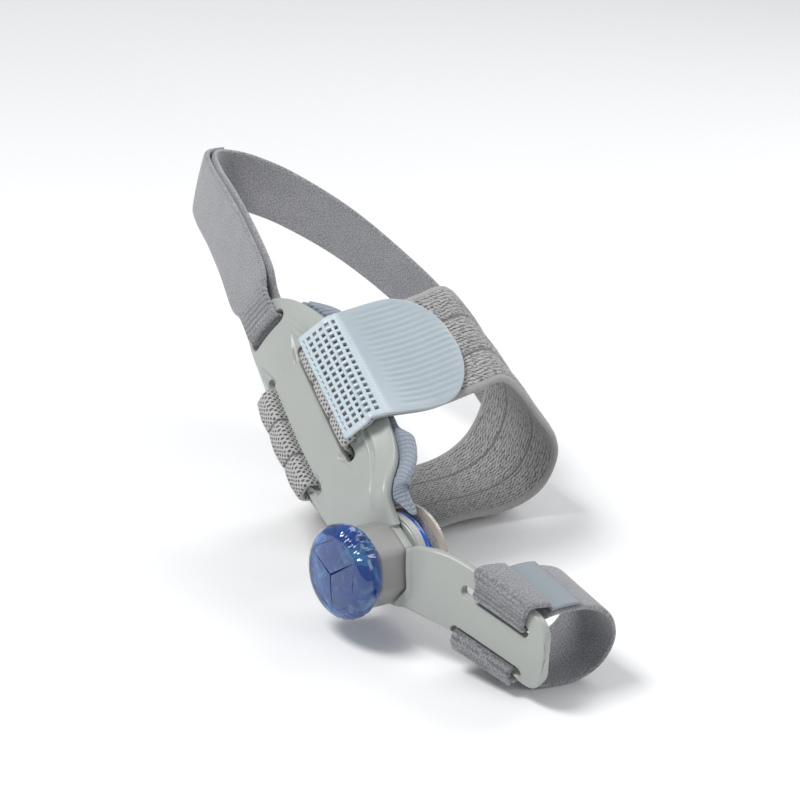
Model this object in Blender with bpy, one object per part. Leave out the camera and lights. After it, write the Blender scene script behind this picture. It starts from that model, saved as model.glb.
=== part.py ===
"""Bunion corrector for a left foot: a shell along the inner side of the foot, a toe arm on a hinge, a knob and straps.

The origin is the middle of the pad's skin face, on the knob's axis. +X runs to the toes, +Y across the foot to its
outer side, away from the knob, and +Z up to the instep. The foot itself is left out, and the straps keep its shape.
"""

from math import cos, pi, radians, sin, sqrt

import bmesh
import bpy
from mathutils import Matrix, Vector

for item in list(bpy.data.objects):
    bpy.data.objects.remove(item, do_unlink=True)

# Clearances, in metres like every length here.
GAP = 0.0003
NOTCH_GAP = 0.0009
POCKET_GAP = 0.0009
PADDING_GAP = 0.0015
TAB_GAP = 0.0009

# Foot that the straps go round.
FOOT_WIDTH = 0.092
INSTEP_HEIGHT = 0.066
SOLE_DEPTH = 0.0190
HEEL_REACH = 0.170

# Hub stack, from the skin outwards along -Y.
HUB_RADIUS = 0.0132
GEL_RADIUS = 0.0148
GEL_HOLE_RADIUS = 0.0095
GEL_DEPTH = 0.0022
PAD_RADIUS = 0.0136
PAD_DEPTH = 0.0021
BLUE_RADIUS = 0.0129
BLUE_DEPTH = 0.0013
FLANGE_DEPTH = 0.0025
HOUSING_RADIUS = 0.0118
HOUSING_HEIGHT = 0.0090
HOUSING_BEVEL = 0.0008
HOUSING_CORNERS = (128, 85, 42, -10, -61, -116, -174)
HUB_SIDES = 32

# Knob.
KNOB_RADIUS = 0.0133
KNOB_DEPTH = 0.0090
KNOB_RIM = 0.0040
SPINDLE_RADIUS = 0.0030
SPINDLE_SOCKET = 0.0040
GRIP_DEPTH = 0.0006
GRIP_TEETH = 5
GRIP_GROUPS = 3
KNOB_SIDES = 45

# Plate.
PLATE_LENGTH = 0.0955
PLATE_THICKNESS = 0.0030
PLATE_PITCH = 29.0
PLATE_RISE = 0.0180
PLATE_LEAN = 20.0
PLATE_CROWN = 0.040
PLATE_UPPER = 0.0196
PLATE_LOWER = 0.0166
RIM_WIDTH = 0.0078
RIM_STEP = 0.0009
RIM_END = 0.0100
SLOT_WIDTH = 0.0034
SLOT_SPAN = 0.0430
HEEL_SLOT_SPAN = 0.0165
RECESS_LENGTH = 0.0062
RECESS_DEPTH = 0.0010

# Padding behind the plate.
PADDING_THICKNESS = 0.0038
PADDING_OVERHANG = 0.0045
PADDING_PRESS = 0.0032
PADDING_LOW = 0.0090
PADDING_HEEL = 0.0030
PADDING_CORNER = 0.0070
PADDING_STEP = 0.0765

# Toe arm and its hinge.
ARM_THICKNESS = 0.0028
ARM_TIP = 0.0594
ARM_CROWN = 0.045
ARM_CROWN_DROP = 0.0003
ARM_ROOT_DEPTH = 0.0144
ARM_TIP_DEPTH = 0.0045
ARM_SLOT_SPAN = 0.0235
ARM_SLOT_WIDTH = 0.0030
HINGE_FORWARD = 0.0156
HINGE_DEPTH = 0.0115
PIN_RADIUS = 0.0008
PIN_LENGTH = 0.0130
KNUCKLE_RADIUS = 0.0016
LUG_HEIGHT = 0.0070

# Straps.
STRAP_WIDTH = 0.0360
STRAP_THICKNESS = 0.0020
TAB_WIDTH = 0.0385
TAB_THICKNESS = 0.0011
TAB_REACH = 0.0455
TAB_START = 0.0085
TAB_ROUND = 0.0150
GRID_COLUMNS = 6
GRID_ROWS = 16
GRID_PITCH = 0.0022
GRID_HOLE = 0.0013
HEEL_STRAP_WIDTH = 0.0190
HEEL_STRAP_THICKNESS = 0.0018
TOE_STRAP_WIDTH = 0.0205
TOE_STRAP_THICKNESS = 0.0016
TOE_STRAP_SHIFT = 0.0018
TOE_STRAP_PINCH = 0.0180
TOE_TAB_THICKNESS = 0.0010
TOE_WIDTH = 0.0290
TOE_HEIGHT = 0.0280

# Places worked out from the sizes above.
PAD_BACK = -GEL_DEPTH - GAP
BLUE_BACK = PAD_BACK - PAD_DEPTH - GAP
FLANGE_BACK = BLUE_BACK - BLUE_DEPTH - GAP
FLANGE_FACE = FLANGE_BACK - FLANGE_DEPTH
PLATE_BACK = FLANGE_FACE - GAP
HUB_FACE = PLATE_BACK - PLATE_THICKNESS
HOUSING_BACK = HUB_FACE - GAP
HOUSING_FACE = HOUSING_BACK - HOUSING_HEIGHT
KNOB_BACK = HOUSING_FACE - GAP
HINGE = Vector((HINGE_FORWARD, -HINGE_DEPTH, 0))
STRAP_LIFT = 1.5 * GAP + STRAP_THICKNESS / 2

# Plate, from the hub to its heel end. Shares of: length, rise, lean, crown, upper edge, lower edge.
PLATE_ROWS = (
    # length, rise, lean, crown, upper, lower
    (0.000, 0.00, 0.00, 0.03, 0.54, 0.60),
    (0.063, 0.00, 0.00, 0.06, 0.64, 0.66),
    (0.143, 0.00, 0.00, 0.12, 0.82, 0.72),
    (0.250, 0.10, 0.60, 0.90, 0.96, 0.80),
    (0.350, 0.20, 0.85, 1.00, 1.00, 0.86),
    (0.520, 0.39, 1.00, 1.00, 0.95, 0.95),
    (0.740, 0.68, 1.00, 1.00, 0.76, 0.99),
    (0.827, 0.79, 1.00, 1.00, 0.59, 1.00),
    (0.910, 0.89, 1.00, 1.00, 0.35, 1.01),
    (0.964, 0.96, 1.00, 1.00, 0.10, 0.95),
    (0.988, 0.99, 1.00, 1.00, -0.10, 0.82),
    (1.000, 1.00, 1.00, 1.00, -0.34, 0.52),
)
PLATE_STATIONS = 25

# Across the plate, from its lower edge to its upper one. Shares of: plain width, rim width, rim step.
CROSS_ROWS = (
    # plain, rim, lift
    (0.00, 0.00, -1.0),
    (0.06, 0.00, 0.0),
    (0.30, 0.00, 0.0),
    (0.55, 0.00, 0.0),
    (0.80, 0.00, 0.0),
    (1.00, 0.00, 0.0),
    (1.00, 0.08, 1.0),
    (1.00, 0.42, 0.8),
    (1.00, 0.50, 1.2),
    (1.00, 0.58, 0.4),
    (1.00, 0.85, -0.2),
    (1.00, 1.00, -1.4),
)

# Toe arm, from its root to its tip. Shares of: tip distance, depth lost, thickness; edges as shares of the tip distance.
ARM_ROWS = (
    # distance, depth, thickness, upper, lower
    (0.080, 0.00, 0.70, 0.136, 0.180),
    (0.150, 0.00, 0.75, 0.142, 0.160),
    (0.210, 0.02, 1.30, 0.178, 0.146),
    (0.300, 0.06, 1.50, 0.200, 0.138),
    (0.395, 0.26, 1.00, 0.204, 0.150),
    (0.500, 0.46, 1.00, 0.190, 0.166),
    (0.760, 0.80, 1.00, 0.145, 0.230),
    (0.860, 0.90, 1.00, 0.125, 0.270),
    (0.925, 0.95, 1.00, 0.105, 0.260),
    (0.970, 0.98, 0.95, 0.070, 0.210),
    (0.992, 0.99, 0.90, 0.020, 0.155),
    (1.000, 1.00, 0.90, -0.030, 0.080),
)
ARM_STATIONS = 20

# Slots in the plate and the arm: middle along, middle across, slant in degrees.
UPPER_SLOT = (0.0525, 0.0040, -4.9)
LOWER_SLOT = (0.0530, -0.0118, -4.9)
HEEL_SLOT = (0.0872, -0.0068, 90)
ARM_UPPER_SLOT = (0.0412, 0.0027, -9.6)
ARM_LOWER_SLOT = (0.0392, -0.0104, -11.3)

# The midfoot strap from under the plate's lower edge round the foot to its upper edge. Shares of: heel reach, foot
# width, instep height; then the pitch of its width in degrees.
INSTEP_ROWS = (
    # forward, across, height, pitch
    (-0.318, 0.011, 0.273, 26),
    (-0.309, 0.065, 0.167, 22),
    (-0.312, 0.163, 0.083, 14),
    (-0.329, 0.304, 0.038, 6),
    (-0.341, 0.543, 0.030, 0),
    (-0.338, 0.760, 0.045, 2),
    (-0.332, 0.880, 0.136, 6),
    (-0.324, 0.918, 0.303, 12),
    (-0.306, 0.870, 0.470, 18),
    (-0.276, 0.742, 0.660, 24),
    (-0.247, 0.607, 0.840, 27),
    (-0.224, 0.480, 0.965, 29),
    (-0.212, 0.360, 0.962, 29),
    (-0.214, 0.240, 0.928, 29),
    (-0.219, 0.155, 0.908, 29),
)
TAB_ROWS = 4
RIM_SHARES = (1.0, 0.82, 0.62)

# The roll of the strap round the plate's lower edge. Strap thicknesses beyond the edge, and above the face.
ROLL_ROWS = (
    # beyond, lift
    (0.3, 0.75),
    (1.3, 0.10),
    (1.7, -1.2),
    (1.6, -2.6),
)

# The midfoot strap's three channels across its half width, with shares of its thickness.
CHANNELS = ((-1, 0.6), (-0.8, 1), (-0.36, 0.6), (0, 1), (0.36, 0.6), (0.8, 1), (1, 0.6))

# The heel strap from the plate's end round the ankle to the outer side. Shares of: heel reach, foot width, instep
# height, and its own width for the bow of its edges; then, in degrees, the lean of its width along its run, its tilt
# towards the ankle, and the way it faces.
HEEL_ROWS = (
    # forward, across, height, bow, lean, tilt, facing
    (-0.559, 0.076, 0.947, 0.00, 18, 18, -19),
    (-0.659, 0.145, 1.015, 0.01, 10, 14, -22),
    (-0.765, 0.222, 1.053, 0.02, 4, 10, -23),
    (-0.865, 0.302, 1.061, 0.02, 0, 8, -28),
    (-0.944, 0.391, 1.053, 0.02, -4, 6, -43),
    (-0.976, 0.489, 1.030, 0.02, -9, 4, -90),
    (-0.959, 0.598, 1.000, 0.02, -13, 4, -125),
    (-0.894, 0.707, 0.947, 0.02, -15, 6, -149),
    (-0.771, 0.810, 0.848, 0.02, -18, 10, -161),
    (-0.624, 0.890, 0.700, 0.04, -22, 12, -168),
    (-0.482, 0.958, 0.500, 0.07, -27, 8, -174),
    (-0.375, 0.975, 0.350, 0.12, -26, 4, -178),
)
OUTER_ROWS = 6

# The toe strap's inner layer round the toe. Shares of: toe width, toe height above the sole, tip distance of the arm.
TOE_ROWS = (
    # across, height, forward
    (0.03, 0.940, 0.745),
    (0.15, 0.955, 0.748),
    (0.27, 0.955, 0.750),
    (0.50, 0.920, 0.745),
    (0.73, 0.820, 0.735),
    (0.90, 0.640, 0.725),
    (0.97, 0.410, 0.710),
    (0.88, 0.180, 0.695),
    (0.67, 0.055, 0.680),
    (0.39, 0.035, 0.665),
    (0.17, 0.065, 0.655),
    (0.05, 0.150, 0.650),
)
TOE_ROLL_ROWS = (
    # beyond, lift
    (0.4, 0.7),
    (1.5, -0.3),
    (1.6, -1.8),
)
STRAP_STEP = 0.0045

# A strap's bend round the edge of a slot, in shares of its distance from that edge.
BEND_START = 2.2
BEND_MIDDLE = 0.7


def table_value(rows, column, share):
    """The value of one column at a share of the first, on a smooth curve through the rows."""
    last = len(rows) - 1
    index = 0
    while index < last - 1 and share > rows[index + 1][0]:
        index += 1

    def slope(i):
        low, high = max(i - 1, 0), min(i + 1, last)
        return (rows[high][column] - rows[low][column]) / (rows[high][0] - rows[low][0])

    start, end = rows[index], rows[index + 1]
    step = end[0] - start[0]
    t = (share - start[0]) / step
    near = start[column] * (1 + 2 * t) + slope(index) * step * t
    far = end[column] * (3 - 2 * t) - slope(index + 1) * step * (1 - t)
    return near * (1 - t) ** 2 + far * t**2


def plate_surface(along, across):
    """A point on the plate's outer face, by its distances along the plate and across it."""
    share = min(max(along / PLATE_LENGTH, 0), 1)
    pitch = radians(PLATE_PITCH)
    lean = radians(PLATE_LEAN) * table_value(PLATE_ROWS, 2, share)
    crown = table_value(PLATE_ROWS, 3, share) / PLATE_CROWN
    length_way = Vector((-cos(pitch), 0, sin(pitch)))
    upright = Vector((sin(pitch), 0, cos(pitch)))
    inward = Vector((0, 1, 0))
    across_way = upright * cos(lean) + inward * sin(lean)
    inner_way = inward * cos(lean) - upright * sin(lean)
    base = length_way * along + inward * (HUB_FACE + PLATE_RISE * table_value(PLATE_ROWS, 1, share))
    return base + across_way * across + inner_way * (crown * across**2 / 2)


def arm_surface(along, height):
    """A point on the arm's outer face, by its distance ahead of the hub and its height."""
    lost = table_value(ARM_ROWS, 1, along / ARM_TIP)
    depth = ARM_ROOT_DEPTH + (ARM_TIP_DEPTH - ARM_ROOT_DEPTH) * lost
    return Vector((along, -depth + (height + ARM_CROWN_DROP) ** 2 / (2 * ARM_CROWN), height))


def lifted(surface, along, across, lift):
    """A point this far outside a surface that faces the inner side of the foot."""
    step = 0.0002
    point = surface(along, across)
    forward = surface(along + step, across) - surface(along - step, across)
    sideways = surface(along, across + step) - surface(along, across - step)
    normal = forward.cross(sideways).normalized()
    if normal.y > 0:
        normal = -normal
    return point + normal * lift


def plate_edges(along):
    """Where the plate's lower and upper edges lie across it."""
    share = along / PLATE_LENGTH
    return -PLATE_LOWER * table_value(PLATE_ROWS, 5, share), PLATE_UPPER * table_value(PLATE_ROWS, 4, share)


def arm_edges(along):
    """Where the arm's lower and upper edges lie."""
    share = along / ARM_TIP
    return -ARM_TIP * table_value(ARM_ROWS, 4, share), ARM_TIP * table_value(ARM_ROWS, 3, share)


def smooth_route(points, step):
    """Points about a step apart on a smooth curve through the points given, each a list of numbers."""
    route = []
    for index in range(len(points) - 1):
        before = points[max(index - 1, 0)]
        start, end = points[index], points[index + 1]
        after = points[min(index + 2, len(points) - 1)]
        pieces = max(1, round(sqrt(sum((b - a) ** 2 for a, b in zip(start[:3], end[:3]))) / step))
        for piece in range(pieces):
            t = piece / pieces
            route.append([
                0.5 * (2 * b + (c - a) * t + (2 * a - 5 * b + 4 * c - d) * t**2 + (3 * b - a - 3 * c + d) * t**3)
                for a, b, c, d in zip(before, start, end, after)
            ])
    route.append(list(points[-1]))
    return route


def plastic(name, colour, roughness, metallic=0.0, transmission=0.0):
    """A Principled material of one colour."""
    material = bpy.data.materials.new(name)
    material.use_nodes = True
    shader = material.node_tree.nodes["Principled BSDF"]
    shader.inputs["Base Color"].default_value = (*colour, 1)
    shader.inputs["Roughness"].default_value = roughness
    shader.inputs["Metallic"].default_value = metallic
    shader.inputs["Transmission Weight"].default_value = transmission
    material.diffuse_color = (*colour, 1)
    return material


def solid(name, points, faces, material=None):
    """An object from points and faces, with its faces turned outwards."""
    mesh = bpy.data.meshes.new(name)
    mesh.from_pydata([tuple(point) for point in points], [], faces)
    shape = bmesh.new()
    shape.from_mesh(mesh)
    bmesh.ops.recalc_face_normals(shape, faces=shape.faces)
    if shape.calc_volume(signed=True) < 0:
        bmesh.ops.reverse_faces(shape, faces=shape.faces)
    shape.to_mesh(mesh)
    shape.free()
    mesh.shade_smooth()
    mesh.set_sharp_from_angle(angle=radians(30))
    item = bpy.data.objects.new(name, mesh)
    bpy.context.scene.collection.objects.link(item)
    if material:
        mesh.materials.append(material)
    return item


def sheet(name, outer, inner, material=None, is_hole=lambda row, column: False):
    """A closed wall between two grids of points of the same size, pierced where a cell is a hole."""
    rows, columns = len(outer), len(outer[0])
    points = [point for row in outer for point in row] + [point for row in inner for point in row]
    back = rows * columns
    faces = []

    def solid_cell(row, column):
        inside = 0 <= row < rows - 1 and 0 <= column < columns - 1
        return inside and not is_hole(row, column)

    for row in range(rows - 1):
        for column in range(columns - 1):
            if not solid_cell(row, column):
                continue
            near = row * columns + column
            corners = (near, near + 1, near + columns + 1, near + columns)
            faces.append(corners)
            faces.append(tuple(back + corner for corner in reversed(corners)))
            beside = ((row - 1, column), (row, column + 1), (row + 1, column), (row, column - 1))
            for side, cell in enumerate(beside):
                if not solid_cell(*cell):
                    here, there = corners[side], corners[(side + 1) % 4]
                    faces.append((here, back + here, back + there, there))
    return solid(name, points, faces, material)


def prism(name, outer, inner, material=None):
    """A closed block between two outlines with the same number of points."""
    count = len(outer)
    faces = [tuple(range(count)), tuple(range(2 * count - 1, count - 1, -1))]
    for index in range(count):
        following = (index + 1) % count
        faces.append((index, count + index, count + following, following))
    return solid(name, [*outer, *inner], faces, material)


def lathe(name, profile, sides, material=None, hollow=False, radius_at=None):
    """A turned solid. A profile that starts and ends at the axis is closed there, and a hollow one is a ring."""
    stretch = radius_at or (lambda radius, depth, angle: radius)
    points, faces, loops = [], [], []
    for radius, depth in profile:
        if radius == 0:
            loops.append([len(points)])
            points.append(Vector((0, depth, 0)))
            continue
        loops.append(range(len(points), len(points) + sides))
        for side in range(sides):
            angle = 2 * pi * side / sides
            size = stretch(radius, depth, angle)
            points.append(Vector((size * cos(angle), depth, size * sin(angle))))
    pairs = list(zip(loops, loops[1:]))
    if hollow:
        pairs.append((loops[-1], loops[0]))
    for first, second in pairs:
        for side in range(sides):
            beside = (side + 1) % sides
            if len(first) == 1:
                faces.append((first[0], second[side], second[beside]))
            elif len(second) == 1:
                faces.append((first[side], first[beside], second[0]))
            else:
                faces.append((first[side], first[beside], second[beside], second[side]))
    return solid(name, points, faces, material)


def cut(target, cutter, operation="DIFFERENCE"):
    """Adds an exact Boolean with a helper that doesn't show."""
    cutter.hide_render = True
    cutter.display_type = "WIRE"
    modifier = target.modifiers.new(cutter.name, "BOOLEAN")
    modifier.operation = operation
    modifier.solver = "EXACT"
    modifier.object = cutter


def stadium(middle_along, middle_across, slant, span, width):
    """A slot's outline on a surface: two straight sides with round ends. The slant is in degrees."""
    turn = radians(slant)
    outline = []
    for end in (1, -1):
        for step in range(5):
            angle = pi * step / 4 - pi / 2 + (0 if end > 0 else pi)
            along = end * (span - width) / 2 + width / 2 * cos(angle)
            across = width / 2 * sin(angle)
            outline.append((
                middle_along + along * cos(turn) - across * sin(turn),
                middle_across + along * sin(turn) + across * cos(turn),
            ))
    return outline


def recess(middle_along, middle_across, slant, end):
    """A tapered hollow's outline, from a slot's end to a point beyond it."""
    turn = radians(slant)
    outline = []
    for along, across in (
        (SLOT_SPAN / 2 - SLOT_WIDTH, SLOT_WIDTH),
        (SLOT_SPAN / 2 - SLOT_WIDTH, -SLOT_WIDTH),
        (SLOT_SPAN / 2 + RECESS_LENGTH, 0),
    ):
        outline.append((
            middle_along + end * along * cos(turn) - across * sin(turn),
            middle_across + end * along * sin(turn) + across * cos(turn),
        ))
    return outline


def cutter_on(name, surface, outline, low, high):
    """A cutter that stands on a surface between two lifts."""
    outer = [lifted(surface, along, across, high) for along, across in outline]
    inner = [lifted(surface, along, across, low) for along, across in outline]
    return prism(name, outer, inner)


# Colours, as linear values.
GREY = plastic("grey_moulded_plastic", (0.47, 0.50, 0.48), 0.42)
HOUSING_GREY = plastic("housing_plastic", (0.37, 0.37, 0.36), 0.40)
BLUE = plastic("blue_clear_plastic", (0.02, 0.10, 0.42), 0.08, transmission=0.5)
CLEAR = plastic("clear_gel", (0.82, 0.76, 0.70), 0.20, transmission=0.7)
PALE_BLUE = plastic("pale_blue_hook", (0.46, 0.56, 0.63), 0.35, transmission=0.2)
BLUE_GREY_CLOTH = plastic("ribbed_cloth", (0.27, 0.31, 0.38), 0.90)
STRAP_CLOTH = plastic("elastic_webbing", (0.28, 0.28, 0.30), 0.92)
BRUSHED_CLOTH = plastic("brushed_loop_cloth", (0.32, 0.32, 0.34), 0.95)
SMOOTH_GREY = plastic("smooth_grey_hook", (0.35, 0.37, 0.40), 0.50)
STEEL = plastic("steel", (0.55, 0.55, 0.56), 0.30, metallic=1.0)


def build_plate():
    """The shell along the foot, with its rim, slots and recesses, and the collar under the housing."""
    outer, inner = [], []
    first = 0.004
    for station in range(PLATE_STATIONS):
        share = station / (PLATE_STATIONS - 1)
        along = first + (PLATE_LENGTH - first) * (1 - (1 - share) ** 1.35)
        lower, upper = plate_edges(along)
        rim = RIM_WIDTH * min(1, (upper - lower) / (2.2 * RIM_WIDTH))
        calm = min(1, (upper - lower) / (2 * RIM_WIDTH))
        heel_fade = (PLATE_LENGTH - RIM_END - along) / RIM_END
        hub_fade = 2 * (along - HOUSING_RADIUS - GAP) / RIM_END
        raised = min(1, max(0, min(heel_fade, hub_fade)))
        outer_row, inner_row = [], []
        for plain, edge, lift in CROSS_ROWS:
            across = lower + (upper - rim - lower) * plain + rim * edge
            rise = lift * calm * RIM_STEP * (raised if lift > 0 else 1)
            outer_row.append(lifted(plate_surface, along, across, rise))
            inner_row.append(lifted(plate_surface, along, across, -PLATE_THICKNESS))
        outer.append(outer_row)
        inner.append(inner_row)
    plate = sheet("foot_plate", outer, inner, GREY)
    corners = housing_outline(0, HUB_FACE)
    collar = prism("collar", corners, housing_outline(0, PLATE_BACK))
    cut(plate, collar, "UNION")
    for name, slot in (("upper", UPPER_SLOT), ("lower", LOWER_SLOT)):
        outline = stadium(*slot, SLOT_SPAN, SLOT_WIDTH)
        cut(plate, cutter_on(name + "_slot", plate_surface, outline, -2 * PLATE_THICKNESS, PLATE_THICKNESS))
        for end in (-1, 1):
            outline = recess(*slot, end)
            cut(plate, cutter_on(name + "_recess", plate_surface, outline, -RECESS_DEPTH, PLATE_THICKNESS))
    outline = stadium(*HEEL_SLOT, HEEL_SLOT_SPAN, SLOT_WIDTH)
    cut(plate, cutter_on("heel_slot", plate_surface, outline, -2 * PLATE_THICKNESS, PLATE_THICKNESS))
    return plate


def housing_outline(growth, depth):
    """The housing's corners at one depth, grown outwards for the notch that goes round it."""
    radius = HOUSING_RADIUS + growth
    return [Vector((radius * cos(radians(turn)), depth, radius * sin(radians(turn)))) for turn in HOUSING_CORNERS]


def build_housing():
    """The faceted housing, with a socket for the knob's spindle."""
    bevel = HOUSING_FACE + HOUSING_BEVEL
    rings = (
        housing_outline(0, HOUSING_BACK),
        housing_outline(0, bevel),
        housing_outline(-HOUSING_BEVEL, HOUSING_FACE),
    )
    count = len(HOUSING_CORNERS)
    points = [point for loop in rings for point in loop]
    faces = [tuple(range(count)), tuple(range(3 * count - 1, 2 * count - 1, -1))]
    for level in (0, count):
        for corner in range(count):
            beside = (corner + 1) % count
            faces.append((level + corner, level + beside, level + count + beside, level + count + corner))
    housing = solid("knob_housing", points, faces, HOUSING_GREY)
    socket = SPINDLE_RADIUS + GAP
    floor = KNOB_BACK + SPINDLE_SOCKET + GAP
    hole = lathe("socket", ((0, floor), (socket, floor), (socket, HOUSING_FACE - GAP), (0, HOUSING_FACE - GAP)), 24)
    cut(housing, hole)
    return housing


def grip(radius, depth, angle):
    """The knob's radius, with three groups of finger ridges round its rim."""
    face = KNOB_BACK - KNOB_DEPTH
    share = (depth - face) / KNOB_DEPTH
    turn = (angle * GRIP_GROUPS / (2 * pi)) % 1
    in_group = turn < 0.42 and radius > KNOB_RADIUS * 0.85 and 0.15 < share < 0.85
    return radius - GRIP_DEPTH * (0.5 - 0.5 * cos(2 * pi * turn / 0.42 * GRIP_TEETH)) if in_group else radius


def build_knob():
    """The turning knob: a low dome with a round rim, and a spindle into the housing."""
    face = KNOB_BACK - KNOB_DEPTH
    shoulder = KNOB_RADIUS - KNOB_RIM
    profile = [(0, face), (shoulder * 0.55, face + KNOB_DEPTH * 0.03)]
    for step in range(6):
        angle = pi / 2 * step / 5
        profile.append((shoulder + KNOB_RIM * sin(angle), face + KNOB_DEPTH * (0.08 + 0.42 * (1 - cos(angle)))))
    profile += [
        (KNOB_RADIUS * 0.985, face + KNOB_DEPTH * 0.72),
        (KNOB_RADIUS * 0.90, KNOB_BACK - KNOB_DEPTH * 0.06),
        (KNOB_RADIUS * 0.80, KNOB_BACK),
        (SPINDLE_RADIUS, KNOB_BACK),
        (SPINDLE_RADIUS, KNOB_BACK + SPINDLE_SOCKET),
        (0, KNOB_BACK + SPINDLE_SOCKET),
    ]
    knob = lathe("knob", profile, KNOB_SIDES, BLUE, radius_at=grip)
    middle = Vector((0, (KNOB_BACK + face) / 2, 0))
    knob.data.transform(Matrix.Translation(-middle))
    knob.location = middle
    return knob


def build_hub():
    """The discs behind the housing, and the lug that carries the toe arm."""
    bevel = 0.0005
    flange = lathe(
        "hub_flange",
        (
            (0, FLANGE_BACK),
            (HUB_RADIUS, FLANGE_BACK),
            (HUB_RADIUS, FLANGE_FACE + bevel),
            (HUB_RADIUS - bevel, FLANGE_FACE),
            (0, FLANGE_FACE),
        ),
        HUB_SIDES,
        GREY,
    )
    reach = HINGE_FORWARD + KNUCKLE_RADIUS
    half = LUG_HEIGHT / 2
    base = box("lug_base", (HUB_RADIUS / 2, FLANGE_FACE + bevel, -half), (reach, FLANGE_BACK, half))
    stem = box(
        "lug_stem",
        (HINGE_FORWARD - KNUCKLE_RADIUS, -HINGE_DEPTH, -half),
        (HINGE_FORWARD + KNUCKLE_RADIUS, FLANGE_BACK - bevel, half),
    )
    knuckle = upright_rod("lug_knuckle", KNUCKLE_RADIUS, LUG_HEIGHT)
    for helper in (base, stem, knuckle):
        cut(flange, helper, "UNION")
    cut(flange, upright_rod("lug_bore", PIN_RADIUS + GAP, 2 * LUG_HEIGHT))
    pad_rim = 0.0007
    lathe(
        "bunion_pad",
        (
            (0, PAD_BACK),
            (PAD_RADIUS - pad_rim, PAD_BACK),
            (PAD_RADIUS, PAD_BACK - pad_rim),
            (PAD_RADIUS, PAD_BACK - PAD_DEPTH + pad_rim),
            (PAD_RADIUS - pad_rim, PAD_BACK - PAD_DEPTH),
            (0, PAD_BACK - PAD_DEPTH),
        ),
        HUB_SIDES,
        BLUE_GREY_CLOTH,
    )
    lathe(
        "blue_ring",
        (
            (0, BLUE_BACK),
            (BLUE_RADIUS, BLUE_BACK),
            (BLUE_RADIUS, BLUE_BACK - BLUE_DEPTH),
            (0, BLUE_BACK - BLUE_DEPTH),
        ),
        HUB_SIDES,
        BLUE,
    )
    lip = GEL_DEPTH / 3
    lathe(
        "gel_ring",
        (
            (GEL_HOLE_RADIUS, -GEL_DEPTH),
            (GEL_RADIUS, -GEL_DEPTH),
            (GEL_RADIUS, -lip),
            (GEL_RADIUS - lip, 0),
            (GEL_HOLE_RADIUS + lip, 0),
            (GEL_HOLE_RADIUS, -lip),
        ),
        HUB_SIDES,
        CLEAR,
        hollow=True,
    )


def box(name, low, high):
    """A plain block between two corners."""
    (x0, y0, z0), (x1, y1, z1) = low, high
    floor = [Vector((x0, y0, z0)), Vector((x1, y0, z0)), Vector((x1, y1, z0)), Vector((x0, y1, z0))]
    return prism(name, floor, [point + Vector((0, 0, z1 - z0)) for point in floor])


def upright_rod(name, radius, length, material=None):
    """A round rod on the toe arm's hinge axis."""
    sides = 20
    top = [
        HINGE + Vector((radius * cos(2 * pi * side / sides), radius * sin(2 * pi * side / sides), length / 2))
        for side in range(sides)
    ]
    return prism(name, top, [point - Vector((0, 0, length)) for point in top], material)


def build_arm():
    """The curved arm along the big toe, notched round the housing and pocketed over the hinge lug."""
    outer, inner = [], []
    columns = (0, 0.05, 0.25, 0.5, 0.75, 0.95, 1)
    drops = (0.7, 0, 0, 0, 0, 0, 0.7)
    first = ARM_ROWS[0][0] * ARM_TIP
    for station in range(ARM_STATIONS):
        share = station / (ARM_STATIONS - 1)
        along = first + (ARM_TIP - first) * (1 - (1 - share) ** 1.4)
        lower, upper = arm_edges(along)
        wall = ARM_THICKNESS * table_value(ARM_ROWS, 2, along / ARM_TIP)
        outer_row, inner_row = [], []
        for column, drop in zip(columns, drops):
            height = lower + (upper - lower) * column
            outer_row.append(lifted(arm_surface, along, height, -drop * ARM_THICKNESS / 3))
            inner_row.append(lifted(arm_surface, along, height, -wall))
        outer.append(outer_row)
        inner.append(inner_row)
    arm = sheet("toe_arm", outer, inner, GREY)
    notch = prism(
        "notch",
        housing_outline(NOTCH_GAP, -2 * ARM_ROOT_DEPTH),
        housing_outline(NOTCH_GAP, FLANGE_FACE),
    )
    cut(arm, notch)
    half = LUG_HEIGHT / 2 + GAP
    pocket = box(
        "lug_pocket",
        (HINGE_FORWARD - KNUCKLE_RADIUS - POCKET_GAP, -HINGE_DEPTH - KNUCKLE_RADIUS - GAP, -half),
        (HINGE_FORWARD + KNUCKLE_RADIUS + POCKET_GAP, 0, half),
    )
    cut(arm, pocket)
    cut(arm, upright_rod("pin_bore", PIN_RADIUS + GAP, PIN_LENGTH + 2 * GAP))
    for name, slot in (("arm_upper_slot", ARM_UPPER_SLOT), ("arm_lower_slot", ARM_LOWER_SLOT)):
        outline = stadium(*slot, ARM_SLOT_SPAN, ARM_SLOT_WIDTH)
        cut(arm, cutter_on(name, arm_surface, outline, -2 * ARM_THICKNESS, ARM_THICKNESS))
    arm_at_hinge(arm)
    pin = upright_rod("hinge_pin", PIN_RADIUS, PIN_LENGTH, STEEL)
    arm_at_hinge(pin)
    return arm


def arm_at_hinge(item):
    """Puts an object's origin on the toe arm's hinge, with its shape where it was."""
    item.data.transform(Matrix.Translation(-HINGE))
    item.location = HINGE


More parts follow.
